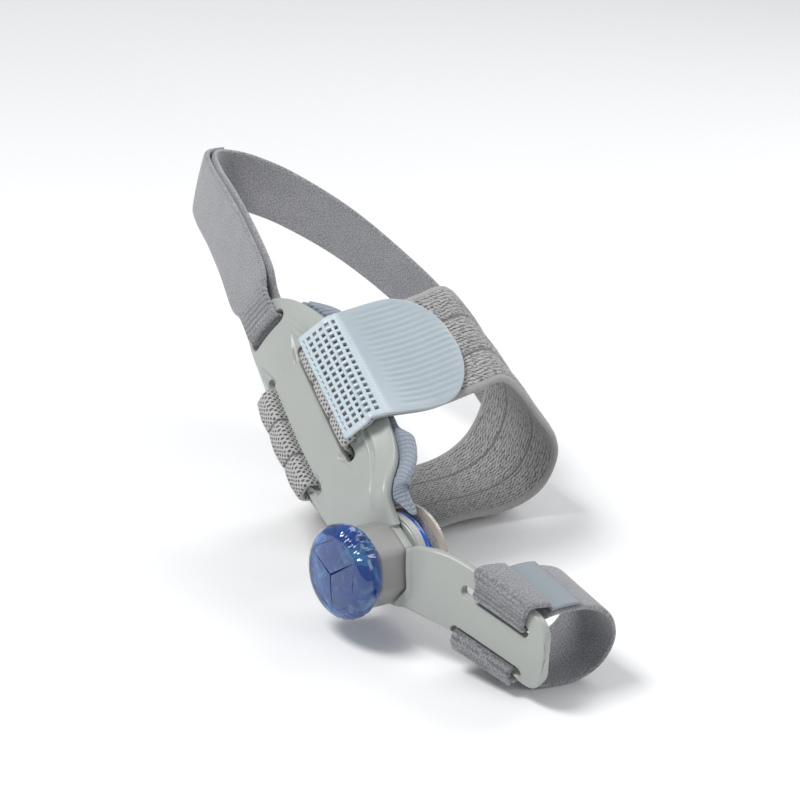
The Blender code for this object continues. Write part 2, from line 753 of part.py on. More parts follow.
def build_padding():
    """The soft pad behind the plate, a little wider than it along the upper edge."""
    outer, inner = [], []
    stations = 20
    first, last = 0.0035, PLATE_LENGTH - 0.003
    for station in range(stations):
        along = first + (last - first) * station / (stations - 1)
        under_strap = STRAP_WIDTH / 2 + PADDING_CORNER - abs(along - UPPER_SLOT[0])
        pressed = PADDING_PRESS * min(1, max(0, under_strap / PADDING_CORNER))
        upper = plate_edges(along)[1] + PADDING_OVERHANG - pressed
        lower = padding_floor(along)
        outer_row, inner_row = [], []
        for column in range(6):
            share = column / 5
            across = lower + (upper - lower) * share
            edge = 1 - 0.25 * abs(2 * share - 1) ** 3
            front = -PLATE_THICKNESS - GAP - strap_room(across)
            outer_row.append(lifted(plate_surface, along, across, front))
            inner_row.append(lifted(plate_surface, along, across, front - PADDING_THICKNESS * edge))
        outer.append(outer_row)
        inner.append(inner_row)
    return sheet("plate_pad", outer, inner, BLUE_GREY_CLOTH)


def padding_floor(along):
    """The lower edge of the padding: round the hub's discs, over the lower slot, and clear of the heel strap."""
    clear = GEL_RADIUS + PADDING_GAP
    if along < clear:
        return sqrt(clear**2 - along**2)
    near = min(1, (along - clear) / PADDING_CORNER)
    far = min(1, max(0, (along - PADDING_STEP) / PADDING_CORNER))
    return PADDING_HEEL * far - PADDING_LOW * near * (1 - far)


def strap_room(across):
    """How far the padding gives way to the strap that runs behind the plate."""
    start = UPPER_SLOT[1] + SLOT_WIDTH
    fade = min(1, max(0, (across - start) / STRAP_THICKNESS))
    return (STRAP_THICKNESS + 2 * GAP) * (1 - fade * fade * (3 - 2 * fade))


def row_on(surface, middle, lift, half, slant):
    """A strap's left, middle and right point on a surface, across its slanted width."""
    turn = radians(slant)
    points = []
    for reach in (half, 0, -half):
        along = middle[0] + reach * cos(turn)
        across = middle[1] + reach * sin(turn)
        points.extend(lifted(surface, along, across, lift))
    return points


def free_row(middle, side, half):
    """A strap's left, middle and right point where nothing hard shapes it."""
    reach = Vector(side).normalized() * half
    return [*(Vector(middle) - reach), *middle, *(Vector(middle) + reach)]


def grid_of(rows, columns):
    """Middle points and normals of a strap: a row for each station and a column for each share of its width."""
    grid = []
    for row in rows:
        left, middle, right = Vector(row[:3]), Vector(row[3:6]), Vector(row[6:9])
        grid.append([
            left * (share * (share - 1) / 2) + middle * (1 - share**2) + right * (share * (share + 1) / 2)
            for share in columns
        ])
    normals = []
    for index, row in enumerate(grid):
        before, after = grid[max(index - 1, 0)], grid[min(index + 1, len(grid) - 1)]
        normals.append([
            (after[column] - before[column]).cross(
                row[min(column + 1, len(row) - 1)] - row[max(column - 1, 0)]
            ).normalized()
            for column in range(len(row))
        ])
    return grid, normals


def band(name, rows, step, thickness, material, profile=((-1, 1), (0, 1), (1, 1))):
    """A strap of even thickness along its rows. The profile gives shares of the half width and the thickness."""
    grid, normals = grid_of(smooth_route(rows, step), [share for share, _ in profile])
    outer, inner = [], []
    for points, ways in zip(grid, normals):
        reach = [thickness / 2 * depth for _, depth in profile]
        outer.append([point + way * size for point, way, size in zip(points, ways, reach)])
        inner.append([point - way * size for point, way, size in zip(points, ways, reach)])
    return sheet(name, outer, inner, material)


def through_slot(surface, slot, width, wall, turn, half, way):
    """A strap's rows from outside a wall into a slot, round the slot's edge on the side of way."""
    edge = slot[1] + way * width / 2
    places = (
        (edge + way * BEND_START * turn, turn),
        (edge, turn),
        (edge - way * BEND_MIDDLE * turn, BEND_MIDDLE * turn),
        (edge - way * turn, 0),
        (edge - way * turn, -wall / 2),
    )
    return [row_on(surface, (slot[0], across), lift, half, slot[2]) for across, lift in places]


def inside_slot(surface, slot, width, wall, turn, half, way):
    """A strap's rows out of a slot behind its wall, round the slot's edge on the side of way."""
    edge = slot[1] + way * width / 2
    places = (
        (edge - way * turn, -wall),
        (edge - way * BEND_MIDDLE * turn, -wall - BEND_MIDDLE * turn),
        (edge, -wall - turn),
    )
    return [row_on(surface, (slot[0], across), lift, half, slot[2]) for across, lift in places]


def foot_point(forward, across, height):
    """A point on the foot's outline, by shares of its sizes."""
    return Vector((forward * HEEL_REACH, across * FOOT_WIDTH, height * INSTEP_HEIGHT - SOLE_DEPTH))


def instep_rows(half):
    """The strap's rows round the foot, from under the plate's lower edge to over its upper one."""
    rows = []
    for forward, across, height, pitch in INSTEP_ROWS:
        side = (cos(radians(pitch)), 0, -sin(radians(pitch)))
        rows.append(free_row(foot_point(forward, across, height), side, half))
    return rows


def over_rim(lift, half):
    """A strap's rows over the plate's upper rim, from outside the foot's top to the plain face."""
    edge = plate_edges(UPPER_SLOT[0])[1]
    return [
        row_on(plate_surface, (UPPER_SLOT[0], edge * share), lift, half, UPPER_SLOT[2])
        for share in RIM_SHARES
    ]


def build_midfoot_strap():
    """One strap: from under the hook tab down through the upper slot, behind the bar, out of the lower slot,
    round the plate's lower edge, under the sole and over the instep back to the tab."""
    half = STRAP_WIDTH / 2
    turn = STRAP_LIFT
    wall = PLATE_THICKNESS
    rows = through_slot(plate_surface, UPPER_SLOT, SLOT_WIDTH, wall, turn, half, 1)
    rows += inside_slot(plate_surface, UPPER_SLOT, SLOT_WIDTH, wall, turn, half, -1)
    rows += reversed(inside_slot(plate_surface, LOWER_SLOT, SLOT_WIDTH, wall, turn, half, 1))
    rows += reversed(through_slot(plate_surface, LOWER_SLOT, SLOT_WIDTH, wall, turn, half, -1))
    lower = plate_edges(LOWER_SLOT[0])[0]
    for beyond, lift in ROLL_ROWS:
        middle = (LOWER_SLOT[0], lower - beyond * STRAP_THICKNESS)
        rows.append(row_on(plate_surface, middle, lift * STRAP_THICKNESS, half, LOWER_SLOT[2]))
    rows += instep_rows(half)
    rows += over_rim(STRAP_LIFT + RIM_STEP, half)
    band("midfoot_strap", rows, STRAP_STEP, STRAP_THICKNESS, STRAP_CLOTH, CHANNELS)


def resampled(rows, distances):
    """Rows at these distances along a smooth route, measured on its middle points."""
    route = smooth_route(rows, STRAP_STEP / 4)
    travelled = [0]
    for before, after in zip(route, route[1:]):
        travelled.append(travelled[-1] + (Vector(after[3:6]) - Vector(before[3:6])).length)
    picked, index = [], 0
    for distance in distances:
        while index < len(route) - 2 and travelled[index + 1] < distance:
            index += 1
        share = (distance - travelled[index]) / (travelled[index + 1] - travelled[index])
        picked.append([near + (far - near) * share for near, far in zip(route[index], route[index + 1])])
    return picked


def hole_edges(count):
    """The edges of a centred row of the grid's square holes."""
    return [
        (index - (count - 1) / 2) * GRID_PITCH + side * GRID_HOLE / 2
        for index in range(count)
        for side in (-1, 1)
    ]


def build_strap_tab():
    """The hook tab on the strap: a pierced grid at its plate end, then a plain panel with a round far end."""
    half = TAB_WIDTH / 2
    lift = STRAP_LIFT + RIM_STEP + STRAP_THICKNESS / 2 + TAB_GAP + TAB_THICKNESS / 2
    edge = plate_edges(UPPER_SLOT[0])[1]
    places = (TAB_START, *(edge * share for share in (0.42, *reversed(RIM_SHARES))))
    rows = [row_on(plate_surface, (UPPER_SLOT[0], across), lift, half, UPPER_SLOT[2]) for across in places]
    raised = (STRAP_THICKNESS + TAB_THICKNESS) / 2 + TAB_GAP
    points = [foot_point(*row[:3]) for row in INSTEP_ROWS]
    for index in range(len(INSTEP_ROWS) - 1, len(INSTEP_ROWS) - 1 - TAB_ROWS, -1):
        pitch = radians(INSTEP_ROWS[index][3])
        side = Vector((cos(pitch), 0, -sin(pitch)))
        ahead = points[min(index + 1, len(points) - 1)] - points[index - 1]
        rows.append(free_row(points[index] + ahead.cross(side).normalized() * raised, side, half))
    first = (GRID_PITCH - GRID_HOLE) - hole_edges(GRID_COLUMNS)[0]
    distances = [0, *[first + place for place in hole_edges(GRID_COLUMNS)]]
    plain = distances[-1] + GRID_PITCH
    distances += [plain + (TAB_REACH - TAB_ROUND - plain) * share for share in (0, 0.2, 0.4, 0.6, 0.8, 1)]
    distances += [TAB_REACH - TAB_ROUND * (1 - sin(pi / 2 * step / 6)) for step in range(1, 6)]
    shares = [-1, *[place / half for place in hole_edges(GRID_ROWS)], 1]
    rows = resampled(rows, distances)
    for row, distance in zip(rows, distances):
        bend = max(0, distance - TAB_REACH + TAB_ROUND) / TAB_ROUND
        width = sqrt(1 - bend**2)
        for axis in range(3):
            row[axis] = row[3 + axis] + (row[axis] - row[3 + axis]) * width
            row[6 + axis] = row[3 + axis] + (row[6 + axis] - row[3 + axis]) * width

    def is_hole(row, column):
        return row < 2 * GRID_COLUMNS and row % 2 == 1 and column % 2 == 1

    grid, normals = grid_of(rows, shares)
    outer = [[p + n * TAB_THICKNESS / 2 for p, n in zip(ps, ns)] for ps, ns in zip(grid, normals)]
    inner = [[p - n * TAB_THICKNESS / 2 for p, n in zip(ps, ns)] for ps, ns in zip(grid, normals)]
    sheet("strap_tab", outer, inner, PALE_BLUE, is_hole)


def build_heel_strap():
    """The strap round the back of the ankle: its end folds back through the heel slot, both layers together."""
    along, across, slant = HEEL_SLOT
    turn = HEEL_STRAP_THICKNESS / 2 + GAP
    edge = along + SLOT_WIDTH / 2
    half = HEEL_SLOT_SPAN / 2 - SLOT_WIDTH / 2
    inside = -PLATE_THICKNESS
    places = (
        (PLATE_LENGTH + turn, turn),
        (edge + turn, turn),
        (edge, turn),
        (edge - BEND_MIDDLE * turn, BEND_MIDDLE * turn),
        (edge - turn, 0),
        (edge - turn, inside),
        (edge - BEND_MIDDLE * turn, inside - BEND_MIDDLE * turn),
        (edge, inside - turn),
        (edge + turn, inside - turn),
        (PLATE_LENGTH + turn, inside - turn),
    )
    rows = [foot_row(row, HEEL_STRAP_WIDTH / 2, turn) for row in reversed(HEEL_ROWS[:OUTER_ROWS])]
    rows += [row_on(plate_surface, (place, across), lift, half, slant) for place, lift in places]
    rows += [foot_row(row, HEEL_STRAP_WIDTH / 2, -turn) for row in HEEL_ROWS]
    band("heel_strap", rows, STRAP_STEP, HEEL_STRAP_THICKNESS, BRUSHED_CLOTH)


def foot_row(row, half, lift):
    """A strap's row on the heel, a little outside or inside the line that both layers follow."""
    forward, across, height, bow, lean, tilt, facing = row
    out = Vector((sin(radians(facing)), -cos(radians(facing)), 0))
    way = Vector((cos(radians(facing)), sin(radians(facing)), 0))
    upright = Vector((0, 0, cos(radians(tilt)))) - out * sin(radians(tilt))
    side = upright * cos(radians(lean)) + way * sin(radians(lean))
    middle = foot_point(forward, across, height) + out * lift
    left, right = middle + side * half, middle - side * half
    inward = out * bow * HEEL_STRAP_WIDTH
    return [*(left - inward), *middle, *(right - inward)]


def toe_rows(first, last, lift, half):
    """Rows round the toe, this far outside the line of the strap's inner layer."""
    slant = radians(ARM_UPPER_SLOT[2])
    side = Vector((-cos(slant), 0, -sin(slant)))
    places = [
        Vector((forward * ARM_TIP, across * TOE_WIDTH, height * TOE_HEIGHT - SOLE_DEPTH))
        for across, height, forward in TOE_ROWS
    ]
    rows = []
    for index in range(first, last):
        way = places[min(index + 1, len(places) - 1)] - places[max(index - 1, 0)]
        rows.append(free_row(places[index] + Vector((0, -way.z, way.y)).normalized() * lift, side, half))
    return rows


def beside(slot, shift):
    """A slot's middle and slant, moved along the slot."""
    return slot[0] + shift * cos(radians(slot[2])), slot[1] + shift * sin(radians(slot[2])), slot[2]


def build_toe_strap():
    """The band round the big toe, through both slots of the arm, with its end folded back over the toe."""
    half = TOE_STRAP_WIDTH / 2
    pinch = TOE_STRAP_PINCH / 2
    snug = (ARM_SLOT_SPAN - ARM_SLOT_WIDTH) / 2 - GAP
    turn = TOE_STRAP_THICKNESS / 2 + GAP
    over = TOE_STRAP_THICKNESS + TOE_TAB_THICKNESS + 2 * GAP
    upper_slot = beside(ARM_UPPER_SLOT, TOE_STRAP_SHIFT)
    lower_slot = beside(ARM_LOWER_SLOT, -TOE_STRAP_SHIFT / 2)
    upper = arm_edges(upper_slot[0])[1]
    rows = toe_rows(0, 1, over, half)
    rows.append(row_on(arm_surface, (upper_slot[0], upper + turn), turn, half, upper_slot[2]))
    rows += through_slot(arm_surface, upper_slot, ARM_SLOT_WIDTH, ARM_THICKNESS, turn, pinch, 1)
    rows += inside_slot(arm_surface, upper_slot, ARM_SLOT_WIDTH, ARM_THICKNESS, turn, pinch, 1)
    rows += toe_rows(0, len(TOE_ROWS), 0, half)
    rows += reversed(inside_slot(arm_surface, lower_slot, ARM_SLOT_WIDTH, ARM_THICKNESS, turn, snug, -1))
    rows += reversed(through_slot(arm_surface, lower_slot, ARM_SLOT_WIDTH, ARM_THICKNESS, turn, snug, -1))
    lower = arm_edges(lower_slot[0])[0]
    for beyond, lift in TOE_ROLL_ROWS:
        middle = (lower_slot[0], lower - beyond * TOE_STRAP_THICKNESS)
        rows.append(row_on(arm_surface, middle, lift * TOE_STRAP_THICKNESS, half, lower_slot[2]))
    strap = band("toe_strap", rows, STRAP_STEP * 0.7, TOE_STRAP_THICKNESS, BRUSHED_CLOTH)
    lift = (TOE_STRAP_THICKNESS + TOE_TAB_THICKNESS) / 2 + GAP
    tab = band("toe_strap_tab", toe_rows(0, 3, lift, half), STRAP_STEP, TOE_TAB_THICKNESS, SMOOTH_GREY)
    for item in (strap, tab):
        arm_at_hinge(item)


build_hub()
build_plate()
build_housing()
build_knob()
build_arm()
build_padding()
build_midfoot_strap()
build_strap_tab()
build_heel_strap()
build_toe_strap()
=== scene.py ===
"""Dresses the bunion corrector: the finish of every hard piece, and its pads and straps as detailed meshes.

Run as a script, it makes each piece in turn. Its panel in the 3D view's sidebar lists the same steps.
Lengths are in metres, and a pattern's coordinates in millimetres.
"""

from math import cos, hypot, pi, radians, sin

import bmesh
import bpy
import numpy as np
from mathutils import Matrix, Vector


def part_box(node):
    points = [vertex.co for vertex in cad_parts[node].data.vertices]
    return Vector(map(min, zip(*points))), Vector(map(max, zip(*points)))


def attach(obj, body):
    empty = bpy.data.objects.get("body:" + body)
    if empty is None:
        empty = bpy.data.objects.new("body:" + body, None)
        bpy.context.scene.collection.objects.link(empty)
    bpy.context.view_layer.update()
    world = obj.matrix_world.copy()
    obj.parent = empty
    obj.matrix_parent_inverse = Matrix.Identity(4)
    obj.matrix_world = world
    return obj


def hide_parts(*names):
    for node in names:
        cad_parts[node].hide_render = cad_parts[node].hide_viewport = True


bl_info = {
    "name": "Bunion corrector",
    "version": (1, 0, 0),
    "blender": (4, 5, 0),
    "location": "View3D > Sidebar > Brace",
    "description": "Builds the looks of a bunion corrector round its hard parts",
    "category": "Object",
}

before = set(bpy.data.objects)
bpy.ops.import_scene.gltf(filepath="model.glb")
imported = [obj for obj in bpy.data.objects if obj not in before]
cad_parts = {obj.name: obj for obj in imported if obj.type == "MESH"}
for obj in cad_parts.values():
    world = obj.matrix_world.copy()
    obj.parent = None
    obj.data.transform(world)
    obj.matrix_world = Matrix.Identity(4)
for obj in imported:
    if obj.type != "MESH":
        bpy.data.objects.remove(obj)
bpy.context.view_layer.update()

MM = 0.001

# The hub's stack, read from the frame. Each pair is the face away from the foot and the face towards it.
GEL = (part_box("gel_ring")[0].y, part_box("gel_ring")[1].y)
PAD = (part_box("bunion_pad")[0].y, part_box("bunion_pad")[1].y)
RING = (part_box("blue_ring")[0].y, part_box("blue_ring")[1].y)
FLANGE = (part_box("hub_flange")[0].y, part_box("hub_flange")[1].y)
HOUSING = (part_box("knob_housing")[0].y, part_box("knob_housing")[1].y)
KNOB_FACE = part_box("knob")[0].y
GEL_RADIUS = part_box("gel_ring")[1].z
PAD_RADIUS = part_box("bunion_pad")[1].z
RING_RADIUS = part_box("blue_ring")[1].z
KNOB_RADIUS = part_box("knob")[1].x

# Clearances, as in the solids.
GAP = 0.0003
NOTCH_GAP = 0.0009
POCKET_GAP = 0.0009
PADDING_GAP = 0.0015
TAB_GAP = 0.0009

# Foot that the straps go round.
FOOT_WIDTH = 0.092
INSTEP_HEIGHT = 0.066
SOLE_DEPTH = 0.0190
HEEL_REACH = 0.170

# Hub, housing and knob.
HUB_RADIUS = 0.0132
FLANGE_DEPTH = 0.0025
GEL_HOLE_RADIUS = 0.0095
HOUSING_RADIUS = 0.0118
HOUSING_CORNERS = (128, 85, 42, -10, -61, -116, -174)
HOUSING_FILLET = 0.0016
HOUSING_ROUND = 0.0008
FLANGE_ROUND = 0.0005
RING_ROUND = 0.00045
DISC_SIDES = 160
KNOB_SIDES = 216
KNOB_DOME = 0.08
KNOB_SIDE = 0.42
KNOB_RIM = 0.0040
SPINDLE_RADIUS = 0.0030
SPINDLE_SOCKET = 0.0040
GRIP_DEPTH = 0.0006
GRIP_TEETH = 5
GRIP_TURN = 40.0
GRIP_GROUPS = 3
GRIP_SHARE = 0.42
GROOVE_WIDTH = 0.0002
GROOVE_SPREAD = 2.4
GROOVE_DEPTH = 0.0006
GROOVE_FLOOR = 0.10

KNOB_BACK_ROWS = (
    # share of the knob's radius, share of its depth
    (0.998, 0.60),
    (0.985, 0.72),
    (0.955, 0.83),
    (0.900, 0.94),
    (0.800, 1.00),
)
CORE_ROWS = (
    # share of the knob's radius, share of its depth
    (0.00, 0.34),
    (0.30, 0.38),
    (0.66, 0.62),
    (0.72, 0.88),
    (0.55, 0.94),
    (0.00, 0.94),
)

# Plate.
HUB_FACE = HOUSING[1] - GAP
PLATE_START = 0.0040
PLATE_LENGTH = 0.0955
PLATE_THICKNESS = 0.0030
PLATE_PITCH = 29.0
PLATE_RISE = 0.0180
PLATE_LEAN = 20.0
PLATE_CROWN = 0.040
PLATE_UPPER = 0.0196
PLATE_LOWER = 0.0166
PLATE_ROUND = 0.0009
RIM_WIDTH = 0.0078
RIM_STEP = 0.0009
RIM_END = 0.0100
SLOT_WIDTH = 0.0034
SLOT_SPAN = 0.0430
SLOT_FLARE = 0.00035
SLOT_FLARE_END = 1.8
HEEL_SLOT_SPAN = 0.0165
RECESS_LENGTH = 0.0062
RECESS_DEPTH = 0.0010

# Padding behind the plate.
PADDING_THICKNESS = 0.0038
PADDING_OVERHANG = 0.0045
PADDING_PRESS = 0.0032
PADDING_LOW = 0.0090
PADDING_HEEL = 0.0030
PADDING_CORNER = 0.0070
PADDING_STEP = 0.0765
PADDING_START = 0.0035
PADDING_END = 0.0905
PADDING_TAPER = 0.0140
PADDING_ROUND = 0.0018
PADDING_SWELL = 0.0007
TWILL_PITCH = 0.0013
TWILL_SLANT = 0.45
TWILL_HEIGHT = 0.0001

# Toe arm and its hinge.
ARM_THICKNESS = 0.0028
ARM_TIP = 0.0594
ARM_CROWN = 0.045
ARM_CROWN_DROP = 0.0003
ARM_ROOT_DEPTH = 0.0144
ARM_TIP_DEPTH = 0.0045
ARM_ROUND = 0.0010
ARM_STEP_START = 0.0016
ARM_STEP_END = 0.0030
ARM_STEP_DROP = 0.00035
ARM_SLOT_SPAN = 0.0235
ARM_SLOT_WIDTH = 0.0030
HINGE = Vector((0.0156, -0.0115, 0))
PIN_RADIUS = 0.0008
PIN_LENGTH = 0.0130
KNUCKLE_RADIUS = 0.0016
LUG_HEIGHT = 0.0070

# Straps.
STRAP_WIDTH = 0.0360
STRAP_THICKNESS = 0.0020
STRAP_LIFT = 1.5 * GAP + STRAP_THICKNESS / 2
SEAM_PLACE = 0.36 * STRAP_WIDTH / 2
SELVEDGE_WIDTH = 0.0018
WEAVE_RIB_PITCH = 0.00115
WEAVE_RIB_HEIGHT = 0.00007
TAB_WIDTH = 0.0385
TAB_THICKNESS = 0.0011
TAB_REACH = 0.0455
TAB_START = 0.0085
TAB_ROUND = 0.0150
GRID_COLUMNS = 6
GRID_ROWS = 16
GRID_PITCH = 0.0022
GRID_HOLE = 0.0013
TAB_RIBS = 20
TAB_RIB_HEIGHT = 0.00013
TAB_BAR_HEIGHT = 0.00012
TAB_RIDGE_HEIGHT = 0.00025
HEEL_STRAP_WIDTH = 0.0190
HEEL_STRAP_THICKNESS = 0.0018
FOLD_DEPTH = 0.00048
FOLD_REACH = 0.0105
FOLD_PITCH = 0.0016
TOE_STRAP_WIDTH = 0.0205
TOE_STRAP_THICKNESS = 0.0016
TOE_STRAP_SHIFT = 0.0018
TOE_STRAP_PINCH = 0.0180
TOE_FOLD_DEPTH = 0.0002
TOE_FOLD_PITCH = 0.0012
TOE_FOLD_REACHES = (0.0058, 0.0050)
TOE_TAB_THICKNESS = 0.0010
TOE_WIDTH = 0.0290
TOE_HEIGHT = 0.0280
BEND_START = 2.2
BEND_MIDDLE = 0.7

# How finely the meshes are drawn.
PLATE_STEP = 0.0006
STRAP_STEP = 0.0007
WEAVE_STEP = 0.0006
FOLD_STEP = 0.0004
PADDING_GRID_STEP = 0.0008
WEAVE_ROUTE_STEP = 0.0010

PLATE_ROWS = (
    # length, rise, lean, crown, upper, lower
    (0.000, 0.00, 0.00, 0.03, 0.54, 0.60),
    (0.063, 0.00, 0.00, 0.06, 0.64, 0.66),
    (0.143, 0.00, 0.00, 0.12, 0.82, 0.72),
    (0.250, 0.10, 0.60, 0.90, 0.96, 0.80),
    (0.350, 0.20, 0.85, 1.00, 1.00, 0.86),
    (0.520, 0.39, 1.00, 1.00, 0.95, 0.95),
    (0.740, 0.68, 1.00, 1.00, 0.76, 0.99),
    (0.827, 0.79, 1.00, 1.00, 0.59, 1.00),
    (0.910, 0.89, 1.00, 1.00, 0.35, 1.01),
    (0.964, 0.96, 1.00, 1.00, 0.10, 0.95),
    (0.988, 0.99, 1.00, 1.00, -0.10, 0.82),
    (1.000, 1.00, 1.00, 1.00, -0.34, 0.52),
)
ARM_ROWS = (
    # distance, depth, thickness, upper, lower
    (0.080, 0.00, 0.70, 0.136, 0.180),
    (0.150, 0.00, 0.75, 0.142, 0.160),
    (0.210, 0.02, 1.30, 0.178, 0.146),
    (0.300, 0.06, 1.50, 0.200, 0.138),
    (0.395, 0.26, 1.00, 0.204, 0.150),
    (0.500, 0.46, 1.00, 0.190, 0.166),
    (0.760, 0.80, 1.00, 0.145, 0.230),
    (0.860, 0.90, 1.00, 0.125, 0.270),
    (0.925, 0.95, 1.00, 0.105, 0.260),
    (0.970, 0.98, 0.95, 0.070, 0.210),
    (0.992, 0.99, 0.90, 0.020, 0.155),
    (1.000, 1.00, 0.90, -0.030, 0.080),
)

# The rim along the plate's upper edge. Shares of: rim width from the plain face outwards, rim step.
RIM_ROWS = (
    # width, lift
    (-0.05, 0.00),
    (0.00, 0.12),
    (0.05, 1.00),
    (0.09, 1.12),
    (0.13, 0.92),
    (0.18, 0.42),
    (0.25, 0.42),
    (0.30, 0.92),
    (0.34, 1.08),
    (0.39, 0.90),
    (0.60, 0.55),
    (0.80, 0.10),
    (1.00, -0.30),
)

FLARE_ROWS = (
    # lift, growth
    (-1.6, 0.00),
    (-0.7, 0.18),
    (-0.1, 0.70),
    (0.3, 1.20),
)

# Slots in the plate and the arm: middle along, middle across, slant in degrees.
UPPER_SLOT = (0.0525, 0.0040, -4.9)
LOWER_SLOT = (0.0530, -0.0118, -4.9)
HEEL_SLOT = (0.0872, -0.0068, 90)
ARM_UPPER_SLOT = (0.0412, 0.0027, -9.6)
ARM_LOWER_SLOT = (0.0392, -0.0104, -11.3)

INSTEP_ROWS = (
    # forward, across, height, pitch
    (-0.318, 0.011, 0.273, 26),
    (-0.309, 0.065, 0.167, 22),
    (-0.312, 0.163, 0.083, 14),
    (-0.329, 0.304, 0.038, 6),
    (-0.341, 0.543, 0.030, 0),
    (-0.338, 0.760, 0.045, 2),
    (-0.332, 0.880, 0.136, 6),
    (-0.324, 0.918, 0.303, 12),
    (-0.306, 0.870, 0.470, 18),
    (-0.276, 0.742, 0.660, 24),
    (-0.247, 0.607, 0.840, 27),
    (-0.224, 0.480, 0.965, 29),
    (-0.212, 0.360, 0.962, 29),
    (-0.214, 0.240, 0.928, 29),
    (-0.219, 0.155, 0.908, 29),
)
TAB_ROWS = 4
ROWS_TO_UPPER_SLOT = 4
ROWS_TO_LOWER_SLOT = 13
RIM_SHARES = (0.92, 0.78, 0.62)
ROLL_ROWS = ((0.3, 0.75), (1.3, 0.10), (1.7, -1.2), (1.6, -2.6))
HEEL_ROWS = (
    # forward, across, height, bow, lean, tilt, facing
    (-0.559, 0.076, 0.947, 0.00, 18, 18, -19),
    (-0.659, 0.145, 1.015, 0.01, 10, 14, -22),
    (-0.765, 0.222, 1.053, 0.02, 4, 10, -23),
    (-0.865, 0.302, 1.061, 0.02, 0, 8, -28),
    (-0.944, 0.391, 1.053, 0.02, -4, 6, -43),
    (-0.976, 0.489, 1.030, 0.02, -9, 4, -90),
    (-0.959, 0.598, 1.000, 0.02, -13, 4, -125),
    (-0.894, 0.707, 0.947, 0.02, -15, 6, -149),
    (-0.771, 0.810, 0.848, 0.02, -18, 10, -161),
    (-0.624, 0.890, 0.700, 0.04, -22, 12, -168),
    (-0.482, 0.958, 0.500, 0.07, -27, 8, -174),
    (-0.375, 0.975, 0.350, 0.12, -26, 4, -178),
)
OUTER_ROWS = 6
TOE_ROWS = (
    # across, height, forward
    (0.03, 0.940, 0.745),
    (0.15, 0.955, 0.748),
    (0.27, 0.955, 0.750),
    (0.50, 0.920, 0.745),
    (0.73, 0.820, 0.735),
    (0.90, 0.640, 0.725),
    (0.97, 0.410, 0.710),
    (0.88, 0.180, 0.695),
    (0.67, 0.055, 0.680),
    (0.39, 0.035, 0.665),
    (0.17, 0.065, 0.655),
    (0.05, 0.150, 0.650),
)
TOE_ROLL_ROWS = ((0.4, 0.7), (1.5, -0.3), (1.6, -1.8))


def table_value(rows, column, share):
    """The values of one column at shares of the first, on a smooth curve through the rows."""
    table = np.array(rows, float)
    places, values = table[:, 0], table[:, column]
    last = len(rows) - 1
    low, high = np.maximum(np.arange(last + 1) - 1, 0), np.minimum(np.arange(last + 1) + 1, last)
    slopes = (values[high] - values[low]) / (places[high] - places[low])
    share = np.asarray(share, float)
    index = np.clip(np.searchsorted(places, share) - 1, 0, last - 1)
    step = places[index + 1] - places[index]
    t = (share - places[index]) / step
    near = values[index] * (1 + 2 * t) + slopes[index] * step * t
    far = values[index + 1] * (3 - 2 * t) - slopes[index + 1] * step * (1 - t)
    return near * (1 - t) ** 2 + far * t**2


def smooth(low, high, value):
    """0 under low, 1 over high and a smooth rise between them."""
    t = np.clip((np.asarray(value, float) - low) / (high - low), 0, 1)
    return t * t * (3 - 2 * t)


def unit(vectors):
    """Vectors of length 1."""
    return vectors / np.maximum(np.linalg.norm(vectors, axis=-1, keepdims=True), 1e-12)


def plate_surface(along, across):
    """Points on the plate's outer face, by their distances along the plate and across it."""
    along, across = np.broadcast_arrays(np.asarray(along, float), np.asarray(across, float))
    share = np.clip(along / PLATE_LENGTH, 0, 1)
    pitch = radians(PLATE_PITCH)
    lean = radians(PLATE_LEAN) * table_value(PLATE_ROWS, 2, share)[..., None]
    crown = (table_value(PLATE_ROWS, 3, share) / PLATE_CROWN)[..., None]
    length_way = np.array((-cos(pitch), 0, sin(pitch)))
    upright = np.array((sin(pitch), 0, cos(pitch)))
    inward = np.array((0, 1, 0))
    across_way = upright * np.cos(lean) + inward * np.sin(lean)
    inner_way = inward * np.cos(lean) - upright * np.sin(lean)
    depth = (HUB_FACE + PLATE_RISE * table_value(PLATE_ROWS, 1, share))[..., None]
    base = length_way * along[..., None] + inward * depth
    return base + across_way * across[..., None] + inner_way * crown * across[..., None] ** 2 / 2


def arm_surface(along, height):
    """Points on the arm's outer face, by their distance ahead of the hub and their height."""
    along, height = np.broadcast_arrays(np.asarray(along, float), np.asarray(height, float))
    lost = table_value(ARM_ROWS, 1, along / ARM_TIP)
    depth = ARM_ROOT_DEPTH + (ARM_TIP_DEPTH - ARM_ROOT_DEPTH) * lost
    return np.stack((along, -depth + (height + ARM_CROWN_DROP) ** 2 / (2 * ARM_CROWN), height), axis=-1)


def outward(surface, along, across):
    """The outward normals of a surface that faces the inner side of the foot."""
    step = 0.0002
    forward = surface(along + step, across) - surface(along - step, across)
    sideways = surface(along, across + step) - surface(along, across - step)
    normals = unit(np.cross(forward, sideways))
    return np.where(normals[..., 1:2] > 0, -normals, normals)


def lifted(surface, along, across, lift):
    """Points this far outside a surface."""
    along, across = np.asarray(along, float), np.asarray(across, float)
    lift = np.asarray(lift, float)[..., None]
    return surface(along, across) + outward(surface, along, across) * lift


def plate_edges(along):
    """Where the plate's lower and upper edges lie across it."""
    share = along / PLATE_LENGTH
    return -PLATE_LOWER * table_value(PLATE_ROWS, 5, share), PLATE_UPPER * table_value(PLATE_ROWS, 4, share)


def arm_edges(along):
    """Where the arm's lower and upper edges lie."""
    share = along / ARM_TIP
    return -ARM_TIP * table_value(ARM_ROWS, 4, share), ARM_TIP * table_value(ARM_ROWS, 3, share)


